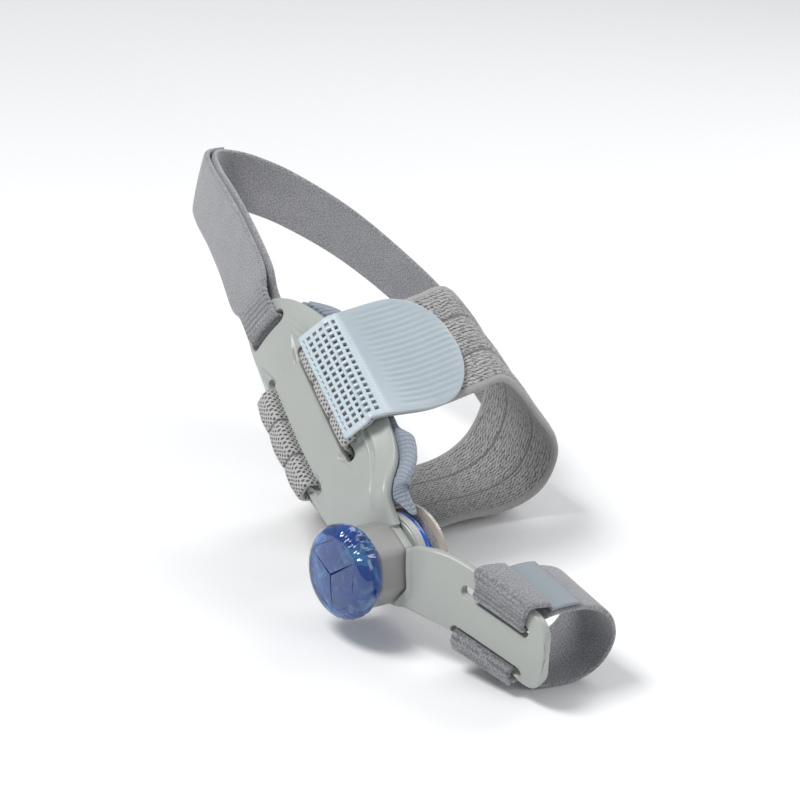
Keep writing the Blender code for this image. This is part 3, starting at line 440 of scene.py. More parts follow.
def smooth_route(rows, step):
    """Rows about a step apart on a smooth curve through the rows given, stepped by their middle points."""
    rows = np.array(rows, float)
    middle = rows[:, 3:6]
    route = []
    for index in range(len(rows) - 1):
        before, start, end = rows[max(index - 1, 0)], rows[index], rows[index + 1]
        after = rows[min(index + 2, len(rows) - 1)]
        count = max(2, round(np.linalg.norm(middle[index + 1] - middle[index]) / step))
        t = (np.arange(count) / count)[:, None]
        square = 2 * before - 5 * start + 4 * end - after
        cube = 3 * start - before - 3 * end + after
        route.append(0.5 * (2 * start + (end - before) * t + square * t**2 + cube * t**3))
    route.append(rows[-1:])
    return np.concatenate(route)


def finished(name, points, faces, material, run=None, sharp=40):
    """An object from points and faces, shaded smooth.

    The run is each point's place on its cloth, in millimetres.
    """
    mesh = bpy.data.meshes.new(name)
    mesh.from_pydata([tuple(point) for point in points], [], faces)
    mesh.validate()
    if run is not None:
        attribute = mesh.attributes.new("run", "FLOAT_VECTOR", "POINT")
        attribute.data.foreach_set("vector", np.asarray(run, np.float32).ravel())
    item = bpy.data.objects.new(name, mesh)
    bpy.context.scene.collection.objects.link(item)
    shade(item, sharp)
    if material:
        mesh.materials.append(material)
    return item


def shade(item, sharp):
    """Smooth shading with an edge where faces meet at more than this many degrees."""
    item.data.shade_smooth()
    item.data.set_sharp_from_angle(angle=radians(sharp))


def wall(name, outer, inner, material, run, is_hole=None, sharp=50):
    """A closed wall between two grids of points of the same size, pierced where a cell is a hole."""
    rows, columns = outer.shape[:2]
    solid = np.ones((rows - 1, columns - 1), bool) if is_hole is None else ~is_hole
    back = rows * columns
    faces = []

    def inside(row, column):
        return 0 <= row < rows - 1 and 0 <= column < columns - 1 and solid[row, column]

    for row, column in np.argwhere(solid):
        near = int(row) * columns + int(column)
        corners = (near, near + 1, near + columns + 1, near + columns)
        faces.append(corners)
        faces.append(tuple(back + corner for corner in reversed(corners)))
        if 0 < row < rows - 2 and 0 < column < columns - 2 and is_hole is None:
            continue
        beside = ((row - 1, column), (row, column + 1), (row + 1, column), (row, column - 1))
        for side, cell in enumerate(beside):
            if not inside(*cell):
                here, there = corners[side], corners[(side + 1) % 4]
                faces.append((here, back + here, back + there, there))
    points = np.concatenate((outer.reshape(-1, 3), inner.reshape(-1, 3)))
    item = finished(name, points, faces, material, np.concatenate((run.reshape(-1, 3),) * 2), sharp)
    outwards(item, sharp)
    return item


def outwards(item, sharp):
    """Turns a closed mesh's faces outwards and drops points that nothing uses."""
    shape = bmesh.new()
    shape.from_mesh(item.data)
    loose = [point for point in shape.verts if not point.link_faces]
    bmesh.ops.delete(shape, geom=loose, context="VERTS")
    bmesh.ops.recalc_face_normals(shape, faces=shape.faces)
    if shape.calc_volume(signed=True) < 0:
        bmesh.ops.reverse_faces(shape, faces=shape.faces)
    shape.to_mesh(item.data)
    shape.free()
    shade(item, sharp)


def prism(name, rings, material=None, run=None):
    """A closed block through outlines with the same number of points."""
    count = len(rings[0])
    faces = [tuple(range(count)), tuple(range(len(rings) * count - 1, (len(rings) - 1) * count - 1, -1))]
    for level in range(len(rings) - 1):
        for index in range(count):
            here, there = level * count + index, level * count + (index + 1) % count
            faces.append((here, here + count, there + count, there))
    item = finished(name, np.concatenate([np.asarray(ring, float) for ring in rings]), faces, material, run)
    outwards(item, 40)
    return item


def turned(name, profile, sides, material, hollow=False, shape=None):
    """A turned solid about the knob's axis. A profile that starts and ends at the axis is closed there."""
    points, faces, loops, run = [], [], [], []
    travelled = 0
    for index, (radius, depth) in enumerate(profile):
        if index:
            travelled += hypot(radius - profile[index - 1][0], depth - profile[index - 1][1])
        if radius == 0:
            loops.append([len(points)])
            points.append((0, depth, 0))
            run.append((0, travelled / MM, 0))
            continue
        loops.append(range(len(points), len(points) + sides))
        for side in range(sides):
            angle = 2 * pi * side / sides
            size, place = shape(radius, depth, angle) if shape else (radius, depth)
            points.append((size * cos(angle), place, size * sin(angle)))
            run.append((angle * radius / MM, travelled / MM, 0))
    pairs = list(zip(loops, loops[1:]))
    if hollow:
        pairs.append((loops[-1], loops[0]))
    for first, second in pairs:
        for side in range(sides):
            following = (side + 1) % sides
            if len(first) == 1:
                faces.append((first[0], second[side], second[following]))
            elif len(second) == 1:
                faces.append((first[side], first[following], second[0]))
            else:
                faces.append((first[side], first[following], second[following], second[side]))
    item = finished(name, points, faces, material, run)
    outwards(item, 40)
    return item


def rounded_profile(radius, front, back, bend, steps=6):
    """A disc's profile from its front face to its back one, with round edges."""
    profile = [(0, front), (radius * 0.5, front)]
    for centre, start in ((front + bend, -pi / 2), (back - bend, 0)):
        for step in range(steps + 1):
            angle = start + pi / 2 * step / steps
            profile.append((radius - bend + bend * cos(angle), centre + bend * sin(angle)))
    return [*profile, (radius * 0.5, back), (0, back)]


def carve(item, cutter, operation="DIFFERENCE", sharp=40):
    """Cuts or joins a shape exactly, applies it and removes the helper."""
    modifier = item.modifiers.new(cutter.name, "BOOLEAN")
    modifier.operation = operation
    modifier.solver = "EXACT"
    modifier.material_mode = "TRANSFER" if cutter.data.materials else "INDEX"
    modifier.object = cutter
    graph = bpy.context.evaluated_depsgraph_get()
    mesh = bpy.data.meshes.new_from_object(item.evaluated_get(graph))
    item.modifiers.clear()
    item.data = mesh
    bpy.data.objects.remove(cutter)
    shade(item, sharp)


def stadium(slot, span, width, grown=0.0, steps=8):
    """A slot's outline on a surface, grown all round: two straight sides with round ends."""
    middle_along, middle_across, slant = slot
    turn = radians(slant)
    radius = width / 2 + grown
    outline = []
    for end in (1, -1):
        for step in range(steps + 1):
            angle = pi * step / steps - pi / 2 + (0 if end > 0 else pi)
            along = end * (span - width) / 2 + radius * cos(angle)
            across = radius * sin(angle)
            outline.append((
                middle_along + along * cos(turn) - across * sin(turn),
                middle_across + along * sin(turn) + across * cos(turn),
            ))
    return np.array(outline)


def slot_cutter(name, surface, slot, span, width, wall_thickness):
    """A cutter for a slot whose outer edge is round."""
    rings = []
    levels = [(-2 * wall_thickness, 0.0)]
    levels += [(lift * SLOT_FLARE, grown) for lift, grown in FLARE_ROWS]
    levels.append((wall_thickness, SLOT_FLARE_END))
    for lift, grown in levels:
        outline = stadium(slot, span, width, grown * SLOT_FLARE)
        rings.append(lifted(surface, outline[:, 0], outline[:, 1], np.full(len(outline), lift)))
    return prism(name, rings)


def edge_distance(along, across, border):
    """How far each place is from a border, given as its points."""
    places = np.stack((along, across), axis=-1).reshape(-1, 1, 2)
    nearest = np.empty(len(places))
    for start in range(0, len(places), 2000):
        gaps = np.linalg.norm(places[start:start + 2000] - border[None], axis=-1)
        nearest[start:start + 2000] = gaps.min(axis=1)
    return nearest.reshape(along.shape)


def round_over(distance, radius):
    """How much a face drops towards a rounded edge."""
    inside = np.clip(1 - distance / radius, 0, 1)
    return radius * (1 - np.sqrt(1 - inside**2))


def shell_grid(edges, first, last, step, radius):
    """Places on a shell between its two edges, closer together where its border is rounded."""
    fine = radius * np.array((0, 0.04, 0.15, 0.35, 0.65))
    between = np.arange(first + radius, last - radius, step)
    stations = np.concatenate((first + fine, between, last - fine[::-1]))
    low, high = edges(stations)
    count = int(round((high - low).max() / (0.55 * step)))
    plain = np.linspace(0, 1, count)
    along, across = [], []
    for station, start, end in zip(stations, low, high):
        span = end - start
        reach = min(radius, span / 3)
        near = fine / radius * reach
        row = np.concatenate((start + near, start + reach + (span - 2 * reach) * plain, end - near[::-1]))
        across.append(row)
        along.append(np.full(len(row), station))
    along, across = np.array(along), np.array(across)
    sides = [np.stack((along[0], across[0]), -1), np.stack((along[-1], across[-1]), -1)]
    sides += [np.stack((along[:, 0], across[:, 0]), -1), np.stack((along[:, -1], across[:, -1]), -1)]
    return along, across, np.concatenate(sides)


def linear(code, alpha=1.0):
    """The linear colour of an sRGB hex value."""
    channels = [int(code[index:index + 2], 16) / 255 for index in (1, 3, 5)]
    return (*[c / 12.92 if c <= 0.04045 else ((c + 0.055) / 1.055) ** 2.4 for c in channels], alpha)


def add(tree, kind, inputs=None, **settings):
    """A node with its settings, its inputs' values and its links."""
    node = tree.nodes.new(kind)
    for name, value in settings.items():
        setattr(node, name, value)
    for key, value in (inputs or {}).items():
        if isinstance(value, bpy.types.NodeSocket):
            tree.links.new(value, node.inputs[key])
        else:
            node.inputs[key].default_value = value
    return node


def new_material(name, colour, **values):
    """A Principled material, its node tree and its shader."""
    material = bpy.data.materials.new(name)
    material.use_nodes = True
    tree = material.node_tree
    shader = tree.nodes["Principled BSDF"]
    shader.inputs["Base Color"].default_value = colour
    for key, value in values.items():
        shader.inputs[key.replace("_", " ")].default_value = value
    return material, tree, shader


def places_on_cloth(tree):
    """The cloth's own coordinates in millimetres: along it, across it and its zone."""
    run = add(tree, "ShaderNodeAttribute", attribute_name="run")
    split = add(tree, "ShaderNodeSeparateXYZ", {"Vector": run.outputs["Vector"]})
    return run.outputs["Vector"], split.outputs["X"], split.outputs["Y"], split.outputs["Z"]


def figure(tree, operation, first, second=0.0, third=0.0):
    """The result of one step of arithmetic."""
    inputs = {0: first, 1: second, 2: third}
    return add(tree, "ShaderNodeMath", inputs, operation=operation).outputs[0]


def wave(tree, place, pitch, shift=0.0):
    """A sine of a place in millimetres, with this pitch."""
    turned_place = figure(tree, "MULTIPLY_ADD", place, 2 * pi / pitch, shift)
    return figure(tree, "SINE", turned_place)


def relief(tree, shader, height, depth):
    """Bump of this depth in metres from a height between 0 and 1."""
    bump = add(tree, "ShaderNodeBump", {"Height": height, "Distance": depth, "Strength": 1.0})
    tree.links.new(bump.outputs["Normal"], shader.inputs["Normal"])


def blended(tree, shader, share, low, high):
    """The base colour between two colours, by a share."""
    mix = add(tree, "ShaderNodeMix", {"Factor": share, "A": low, "B": high}, data_type="RGBA")
    tree.links.new(mix.outputs["Result"], shader.inputs["Base Color"])


def moulded_abs(name, colour, roughness):
    """ABS moulded in a finely eroded steel tool: satin, with a soft broad shine and hardly any grain."""
    material, tree, shader = new_material(name, colour, Roughness=roughness, IOR=1.53)
    place = add(tree, "ShaderNodeTexCoord").outputs["Object"]
    # The tool's grain is under 0.1 mm, too fine to show, so it is drawn at 0.4 mm.
    grain = add(tree, "ShaderNodeTexNoise", {"Vector": place, "Scale": 1 / (0.4 * MM), "Detail": 3.0})
    cloud = add(tree, "ShaderNodeTexNoise", {"Vector": place, "Scale": 1 / (14 * MM), "Detail": 2.0})
    shine = add(tree, "ShaderNodeMapRange", {"Value": cloud.outputs["Fac"], "From Min": 0.3, "From Max": 0.7,
                                             "To Min": roughness - 0.04, "To Max": roughness + 0.04})
    tree.links.new(shine.outputs["Result"], shader.inputs["Roughness"])
    pale = tuple(min(1, channel * 1.05) for channel in colour[:3])
    deep = tuple(channel * 0.96 for channel in colour[:3])
    blended(tree, shader, cloud.outputs["Fac"], (*deep, 1), (*pale, 1))
    relief(tree, shader, grain.outputs["Fac"], 0.012 * MM)
    return material


def glossy_abs(name, colour):
    """ABS from a polished tool: a deep colour under a hard, clear shine."""
    material, tree, shader = new_material(name, colour, Roughness=0.14, IOR=1.54, Coat_Weight=0.5)
    place = add(tree, "ShaderNodeTexCoord").outputs["Object"]
    flow = add(tree, "ShaderNodeTexNoise", {"Vector": place, "Scale": 1 / (4 * MM), "Detail": 2.0})
    relief(tree, shader, flow.outputs["Fac"], 0.01 * MM)
    return material


def polished_polycarbonate(name, deep, bright, clear):
    """Clear tinted polycarbonate from a mirror-polished tool.

    It is deep blue where it is thick; bright patches of painted light, placed by noise, stand for light
    running out of it.
    """
    material, tree, shader = new_material(
        name, deep, Roughness=0.03, IOR=1.58, Transmission_Weight=clear, Coat_Weight=0.6, Coat_Roughness=0.02
    )
    place = add(tree, "ShaderNodeTexCoord").outputs["Object"]
    flow = add(tree, "ShaderNodeTexNoise", {
        "Vector": place, "Scale": 1 / (5 * MM), "Detail": 2.0, "Distortion": 1.2,
    })
    # The share of painted light: bright patches that the noise places over the deep blue.
    share = add(tree, "ShaderNodeMapRange", {
        "Value": flow.outputs["Fac"], "From Min": 0.54, "From Max": 0.68,
    })
    blended(tree, shader, share.outputs["Result"], deep, bright)
    relief(tree, shader, flow.outputs["Fac"], 0.02 * MM)
    return material


def cast_gel(name, colour):
    """Clear silicone gel from a smooth mould: soft, slightly tacky shine, skin tone showing through."""
    material, tree, shader = new_material(
        name, colour, Roughness=0.18, IOR=1.41, Transmission_Weight=0.6,
        Subsurface_Weight=0.3, Subsurface_Scale=0.004,
    )
    place = add(tree, "ShaderNodeTexCoord").outputs["Object"]
    ripple = add(tree, "ShaderNodeTexNoise", {"Vector": place, "Scale": 1 / (3 * MM), "Detail": 2.0})
    relief(tree, shader, ripple.outputs["Fac"], 0.05 * MM)
    return material


def moulded_hook_nylon(name, colour, pale):
    """Injection-moulded nylon hook tape, face side: waxy, a little light passes into it."""
    material, tree, shader = new_material(
        name, colour, Roughness=0.38, IOR=1.53, Subsurface_Weight=0.25, Subsurface_Scale=0.002,
        Transmission_Weight=0.06,
    )
    place = add(tree, "ShaderNodeTexCoord").outputs["Object"]
    cloud = add(tree, "ShaderNodeTexNoise", {"Vector": place, "Scale": 1 / (9 * MM), "Detail": 2.0})
    fine = add(tree, "ShaderNodeTexNoise", {"Vector": place, "Scale": 1 / (0.5 * MM), "Detail": 2.0})
    deep = tuple(channel * 0.92 for channel in colour[:3])
    mixed = {"Factor": cloud.outputs["Fac"], "A": (*deep, 1), "B": colour}
    plain = add(tree, "ShaderNodeMix", mixed, data_type="RGBA")
    # The bars of the grid are paler than the ribbed panel.
    *_, zone = places_on_cloth(tree)
    blended(tree, shader, figure(tree, "MULTIPLY", zone, 0.75), plain.outputs["Result"], pale)
    relief(tree, shader, fine.outputs["Fac"], 0.012 * MM)
    return material


def elastic_webbing(name, light, dark):
    """Knitted polyester elastic.

    It is an open mesh with holes at its folds, painted dark as the shade in them, and has ribs with ladder
    stitches on the instep, with painted shade in the valleys between the ribs.
    """
    material, tree, shader = new_material(
        name, light, Roughness=0.9, IOR=1.5, Sheen_Weight=0.25, Sheen_Roughness=0.5,
    )
    run, along, across, zone = places_on_cloth(tree)
    wobble = add(tree, "ShaderNodeTexNoise", {"Vector": run, "Scale": 0.6, "Detail": 1.0}).outputs["Fac"]
    fluff = add(tree, "ShaderNodeTexNoise", {"Vector": run, "Scale": 2.4, "Detail": 3.0}).outputs["Fac"]
    # The holes of the mesh lie 1.1 mm apart in diagonal rows, painted dark as the shade in them.
    slid = figure(tree, "MULTIPLY_ADD", wobble, 0.9, along)
    dots = figure(tree, "MULTIPLY", wave(tree, slid, 1.56), wave(tree, across, 1.56))
    holes = add(tree, "ShaderNodeMapRange", {"Value": dots, "From Min": 0.14, "From Max": 0.48})
    # The ribs run along the elastic, crossed by dark dashes every 1.5 mm that shift from rib to rib.
    rib_place = figure(tree, "MULTIPLY_ADD", wobble, 0.9, across)
    ribs = wave(tree, rib_place, WEAVE_RIB_PITCH / MM)
    stretched = add(tree, "ShaderNodeMapping", {"Vector": run, "Scale": (0.45, 1.7, 1.0)})
    dashes = add(tree, "ShaderNodeTexNoise", {
        "Vector": stretched.outputs["Vector"], "Scale": 1.1, "Detail": 3.0,
    })
    stitch = wave(tree, figure(tree, "MULTIPLY_ADD", rib_place, 1.3, slid), 1.5)
    valley = figure(tree, "MULTIPLY_ADD", ribs, 0.34, figure(tree, "MULTIPLY", stitch, 0.30))
    dash = figure(tree, "SUBTRACT", dashes.outputs["Fac"], 0.5)
    broken = figure(tree, "MULTIPLY_ADD", dash, 2.6, valley)
    rough_valley = figure(tree, "MULTIPLY_ADD", figure(tree, "SUBTRACT", fluff, 0.5), 1.5, broken)
    # The ladder mixes the dark stitch dashes with painted shade in the valleys between the ribs.
    ladder = add(tree, "ShaderNodeMapRange", {"Value": rough_valley, "From Min": -0.45, "From Max": 0.75})
    # Painted shade in the holes and the rib valleys, with the dark stitches.
    shade_and_stitch_share = add(tree, "ShaderNodeMix", {
        "Factor": zone, "A": holes.outputs["Result"], "B": ladder.outputs["Result"],
    })
    # The stitched seams pull the cloth in, and lie in shade.
    from_middle = figure(tree, "ABSOLUTE", across)
    beside_seam = figure(tree, "ABSOLUTE", figure(tree, "SUBTRACT", from_middle, SEAM_PLACE / MM))
    seam = add(tree, "ShaderNodeMapRange", {"Value": beside_seam, "From Min": 0.15, "From Max": 0.55,
                                            "To Min": 0.85, "To Max": 0.0})
    all_shade_and_stitch_share = figure(tree, "MAXIMUM", shade_and_stitch_share.outputs["Result"], seam.outputs["Result"])
    # The selvedges are woven plain.
    selvedge = (STRAP_WIDTH / 2 - SELVEDGE_WIDTH) / MM
    outside = add(tree, "ShaderNodeMapRange", {
        "Value": from_middle, "From Min": selvedge - 0.2, "From Max": selvedge + 0.2,
    })
    plain_share = figure(tree, "MULTIPLY", outside.outputs["Result"], zone)
    woven = add(tree, "ShaderNodeMix", {"Factor": plain_share, "A": all_shade_and_stitch_share, "B": 0.32})
    shade_share = figure(tree, "MULTIPLY", woven.outputs["Result"], 0.9)
    speckled = figure(tree, "MULTIPLY_ADD", figure(tree, "SUBTRACT", fluff, 0.5), 0.5, shade_share)
    limited = figure(tree, "MINIMUM", figure(tree, "MAXIMUM", speckled, 0.0), 1.0)
    blended(tree, shader, limited, light, dark)
    relief(tree, shader, figure(tree, "SUBTRACT", 1.0, limited), 0.28 * MM)
    return material


def brushed_loop(name, light, dark):
    """Brushed loop nylon: a nap that speckles the light, dull all over with a soft bright edge."""
    material, tree, shader = new_material(
        name, light, Roughness=0.95, IOR=1.5, Sheen_Weight=0.45, Sheen_Roughness=0.6,
    )
    run, *_, zone = places_on_cloth(tree)
    # Loops are 0.3 mm, too fine to show, so the nap is drawn in 0.7 mm tufts.
    tufts = add(tree, "ShaderNodeTexNoise", {"Vector": run, "Scale": 2.1, "Detail": 2.0, "Roughness": 0.5})
    patches = add(tree, "ShaderNodeTexNoise", {"Vector": run, "Scale": 0.16, "Detail": 2.0})
    share = add(tree, "ShaderNodeMapRange", {
        "Value": tufts.outputs["Fac"], "From Min": 0.36, "From Max": 0.64,
    })
    nap = figure(tree, "MULTIPLY", share.outputs["Result"], 0.7)
    worn = figure(tree, "MULTIPLY_ADD", patches.outputs["Fac"], 0.3, nap)
    # The hollows of the creases lie in shade.
    shaded = figure(tree, "SUBTRACT", worn, figure(tree, "MULTIPLY", zone, 0.9))
    blended(tree, shader, figure(tree, "MAXIMUM", shaded, 0.0), dark, light)
    relief(tree, shader, share.outputs["Result"], 0.16 * MM)
    return material


def twill_facing(name, light, dark):
    """Polyester twill bonded on foam: fine slanting ribs with a dry, slightly silky face."""
    material, tree, shader = new_material(
        name, light, Roughness=0.82, IOR=1.5, Sheen_Weight=0.3, Sheen_Roughness=0.45,
    )
    run, along, across, _ = places_on_cloth(tree)
    wobble = add(tree, "ShaderNodeTexNoise", {"Vector": run, "Scale": 0.5, "Detail": 2.0}).outputs["Fac"]
    slid = figure(tree, "MULTIPLY_ADD", wobble, 0.8, along)
    slanted = figure(tree, "MULTIPLY_ADD", across, TWILL_SLANT, slid)
    # The ribs are 1.3 mm apart, with yarns of 0.55 mm along them. The colour is painted darker between ribs
    # and yarns, as shade.
    rib = wave(tree, slanted, TWILL_PITCH / MM)
    yarn = wave(tree, across, 0.55)
    height = figure(tree, "MULTIPLY_ADD", rib, 0.38, figure(tree, "MULTIPLY_ADD", yarn, 0.12, 0.5))
    blended(tree, shader, height, dark, light)
    relief(tree, shader, height, 0.22 * MM)
    return material


def drawn_steel(name, colour):
    """Drawn steel wire, ground: bright along its length with faint lines round it."""
    material, tree, shader = new_material(name, colour, Roughness=0.28, Metallic=1.0, Anisotropic=0.5)
    place = add(tree, "ShaderNodeTexCoord").outputs["Object"]
    lines = add(tree, "ShaderNodeTexNoise", {"Vector": place, "Scale": 1 / (0.3 * MM), "Detail": 2.0})
    relief(tree, shader, lines.outputs["Fac"], 0.006 * MM)
    return material


def shared(name, make, *details):
    """A material that several pieces share, made when the first of them needs it."""
    return bpy.data.materials.get(name) or make(name, *details)


def chosen(name):
    """A colour from the panel."""
    return tuple(getattr(bpy.context.scene.brace_colours, name))


def chosen_size(name):
    """A size from the panel, to a tenth of a micrometre."""
    return round(getattr(bpy.context.scene.brace_sizes, name), 7)


def grey_plastic():
    """The satin plastic of the plate, the arm and the flange."""
    return shared("satin_moulded_abs", moulded_abs, chosen("plastic"), 0.35)


def brushed_cloth():
    """The brushed cloth of the heel strap, the toe strap and the pad on the joint."""
    return shared("brushed_loop_nylon", brushed_loop, chosen("brushed"), chosen("brushed_shade_and_nap"))


def clear_blue(name, deep, bright, clear):
    """The knob's clear plastic in one part's colours: the darker copies for the grooves and the core are
    painted shade, and each bright colour is painted light.
    """
    return shared(name, polished_polycarbonate, chosen(deep), chosen(bright), clear)


def placed(item, body, slot, *nodes):
    """A piece that stands for its solids and moves with their body. The slot is not used."""
    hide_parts(*nodes)
    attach(item, body)
    return item


def recess_lift(along, across):
    """The tapered hollows at both ends of the long slots, as lifts under the plate's face."""
    depth = chosen_size("recess_depth")
    lift = np.zeros_like(along)
    for slot in (UPPER_SLOT, LOWER_SLOT):
        turn = radians(slot[2])
        run = (along - slot[0]) * cos(turn) + (across - slot[1]) * sin(turn)
        side = -(along - slot[0]) * sin(turn) + (across - slot[1]) * cos(turn)
        for end in (-1, 1):
            beyond = (end * run - (SLOT_SPAN / 2 - SLOT_WIDTH)) / (SLOT_WIDTH + RECESS_LENGTH)
            half = SLOT_WIDTH * (1 - beyond)
            share = smooth(0, 0.00045, half - np.abs(side)) * smooth(-0.15, 0.05, beyond)
            lift = np.minimum(lift, -depth * share * np.clip(1.15 - beyond, 0, 1))
    return lift


def rim_lift(along, across, low, high):
    """The raised rim along the plate's upper edge, fading out at the heel and at the housing."""
    rim = RIM_WIDTH * np.minimum(1, (high - low) / (2.2 * RIM_WIDTH))
    calm = np.minimum(1, (high - low) / (2 * RIM_WIDTH))
    heel_fade = (PLATE_LENGTH - RIM_END - along) / RIM_END
    hub_fade = 2 * (along - HOUSING_RADIUS - GAP) / RIM_END
    raised = np.clip(np.minimum(heel_fade, hub_fade), 0, 1)
    share = (across - (high - rim)) / rim
    height = np.interp(share, [row[0] for row in RIM_ROWS], [row[1] for row in RIM_ROWS])
    return height * calm * RIM_STEP * np.where(height > 0, raised, 1)


def shell(name, surface, along, across, front, back, material, sharp=50):
    """A closed wall between two lifts over a surface."""
    normals, base = outward(surface, along, across), surface(along, across)
    run = np.stack((along / MM, across / MM, np.zeros_like(along)), axis=-1)
    outer, inner = base + normals * front[..., None], base + normals * back[..., None]
    return wall(name, outer, inner, material, run, sharp=sharp)


def build_plate():
    """The shell along the foot: round edges, a raised rim, lipped slots and the hollows at their ends."""
    bend = chosen_size("plate_round")
    along, across, border = shell_grid(plate_edges, PLATE_START, PLATE_LENGTH, PLATE_STEP, bend)
    low, high = across[:, :1], across[:, -1:]
    distance = edge_distance(along, across, border)
    lift = rim_lift(along, across, low, high) + recess_lift(along, across) - round_over(distance, bend)
    back = -PLATE_THICKNESS + round_over(distance, bend / 2)
    plate = shell("foot_shell", plate_surface, along, across, lift, back, grey_plastic())
    collar = prism("collar", [housing_outline(0, depth) for depth in (HUB_FACE, HUB_FACE + PLATE_THICKNESS)])
    carve(plate, collar, "UNION")
    slots = (
        ("upper_slot", UPPER_SLOT, SLOT_SPAN),
        ("lower_slot", LOWER_SLOT, SLOT_SPAN),
        ("heel_slot", HEEL_SLOT, HEEL_SLOT_SPAN),
    )
    for name, slot, span in slots:
        carve(plate, slot_cutter(name, plate_surface, slot, span, SLOT_WIDTH, PLATE_THICKNESS))
    return placed(plate, "brace", "grey_plastic", "foot_plate")


def housing_outline(growth, depth, fillet=HOUSING_FILLET, steps=6):
    """The housing's outline at one depth, grown outwards, with rounded corners."""
    radius = HOUSING_RADIUS + growth
    turns = [radians(corner) for corner in HOUSING_CORNERS]
    corners = [np.array((radius * cos(turn), radius * sin(turn))) for turn in turns]
    outline = []
    for index, corner in enumerate(corners):
        before = corners[index - 1] - corner
        after = corners[(index + 1) % len(corners)] - corner
        start = corner + before / np.linalg.norm(before) * fillet
        end = corner + after / np.linalg.norm(after) * fillet
        for step in range(steps + 1):
            t = step / steps
            place = start * (1 - t) ** 2 + corner * 2 * t * (1 - t) + end * t**2
            outline.append((place[0], depth, place[1]))
    return outline


def build_housing():
    """The seven-sided housing, with soft corners and a socket for the knob's spindle."""
    face, back = HOUSING
    rings = [housing_outline(0, back)]
    for step in range(6):
        angle = pi / 2 * step / 5
        growth = -HOUSING_ROUND * (1 - cos(angle))
        rings.append(housing_outline(growth, face + HOUSING_ROUND * (1 - sin(angle))))
    plastic = shared("housing_moulded_abs", moulded_abs, chosen("housing"), 0.44)
    housing = prism("hub_housing", rings, plastic)
    bore, floor, mouth = SPINDLE_RADIUS + GAP, face + SPINDLE_SOCKET, face - GAP
    carve(housing, turned("socket", ((0, floor), (bore, floor), (bore, mouth), (0, mouth)), 48, None))
    return placed(housing, "brace", "housing_plastic", "knob_housing")


def block(name, low, high):
    """A plain block between two corners."""
    (x0, y0, z0), (x1, y1, z1) = low, high
    outline = ((x0, y0), (x1, y0), (x1, y1), (x0, y1))
    return prism(name, [[(x, y, z) for x, y in outline] for z in (z0, z1)])


def upright_rod(name, radius, length, sides=32):
    """A round rod on the toe arm's hinge axis."""
    turns = [2 * pi * side / sides for side in range(sides)]
    ring = [(HINGE.x + radius * cos(turn), HINGE.y + radius * sin(turn)) for turn in turns]
    return prism(name, [[(x, y, z) for x, y in ring] for z in (-length / 2, length / 2)])


def build_flange():
    """The disc behind the housing, with a step round its face and the lug that carries the toe arm."""
    back = FLANGE[1]
    face = back - FLANGE_DEPTH
    bend = FLANGE_ROUND
    profile = rounded_profile(HUB_RADIUS, face, back, bend)
    step = [(0, face), (HUB_RADIUS - 2.4 * bend, face), (HUB_RADIUS - 2 * bend, face + bend * 0.5),
            (HUB_RADIUS - 1.4 * bend, face + bend * 0.5), (HUB_RADIUS - 1.1 * bend, face + bend * 0.05)]
    flange = turned("hub_disc", [*step, *profile[3:]], DISC_SIDES, grey_plastic())
    half = LUG_HEIGHT / 2
    reach = HINGE.x + KNUCKLE_RADIUS
    pieces = (
        block("lug_base", (HUB_RADIUS / 2, face + bend, -half), (reach, back, half)),
        block("lug_stem", (HINGE.x - KNUCKLE_RADIUS, HINGE.y, -half), (reach, back - bend, half)),
        upright_rod("lug_knuckle", KNUCKLE_RADIUS, LUG_HEIGHT),
    )
    for piece in pieces:
        carve(flange, piece, "UNION")
    carve(flange, upright_rod("lug_bore", PIN_RADIUS + GAP, 2 * LUG_HEIGHT))
    return placed(flange, "brace", "grey_plastic", "hub_flange")


def build_discs():
    """The blue ring, the cloth pad and the gel ring between the flange and the skin."""
    glossy = shared("glossy_blue_abs", glossy_abs, chosen("ring"))
    ring = turned("clear_blue_disc", rounded_profile(RING_RADIUS, *RING, RING_ROUND), DISC_SIDES, glossy)
    placed(ring, "brace", "blue_plastic", "blue_ring")
    pad = turned("joint_cushion", cushion_profile(PAD_RADIUS, *PAD), DISC_SIDES, brushed_cloth())
    placed(pad, "brace", "pad_cloth", "bunion_pad")
    gel = shared("cast_silicone_gel", cast_gel, chosen("gel"))
    soft = turned("gel_cushion", gel_profile(), DISC_SIDES, gel, hollow=True)
    placed(soft, "brace", "clear_gel", "gel_ring")


def cushion_profile(radius, front, back, steps=14):
    """A soft disc's profile: a crowned face that pulls in to a seam at the rim."""
    profile = []
    middle, half = (front + back) / 2, (back - front) / 2
    for side, order in ((-1, range(steps + 1)), (1, range(steps, -1, -1))):
        for step in order:
            share = step / steps
            bulge = (1 - share**5) ** 0.5
            profile.append((radius * share, middle + side * half * max(bulge, 0.04)))
    return profile


def gel_profile(steps=8):
    """The gel ring's section: round where it meets the skin, flat at its back."""
    front, back = GEL
    inner, outer = GEL_HOLE_RADIUS, GEL_RADIUS
    profile = [(inner, front), (outer, front)]
    half = (outer - inner) / 2
    for step in range(1, steps * 2):
        angle = pi * step / (steps * 2)
        depth = front + (back - front) * sin(angle) ** 0.55
        profile.append(((inner + outer) / 2 + half * cos(angle), depth))
    return profile


def grip(radius, depth, angle):
    """The knob's rim, with three groups of finger ridges."""
    share = (depth - KNOB_FACE) / (HOUSING[0] - GAP - KNOB_FACE)
    turn = ((angle - radians(GRIP_TURN)) * GRIP_GROUPS / (2 * pi)) % 1
    on_side = smooth(0.10, 0.22, share) * (1 - smooth(0.80, 0.92, share))
    at_rim = smooth(0.80, 0.90, radius / KNOB_RADIUS) * on_side
    if turn > GRIP_SHARE:
        return radius, depth
    tooth = 0.5 - 0.5 * cos(2 * pi * turn / GRIP_SHARE * GRIP_TEETH)
    return radius - chosen_size("grip_depth") * float(at_rim) * tooth, depth


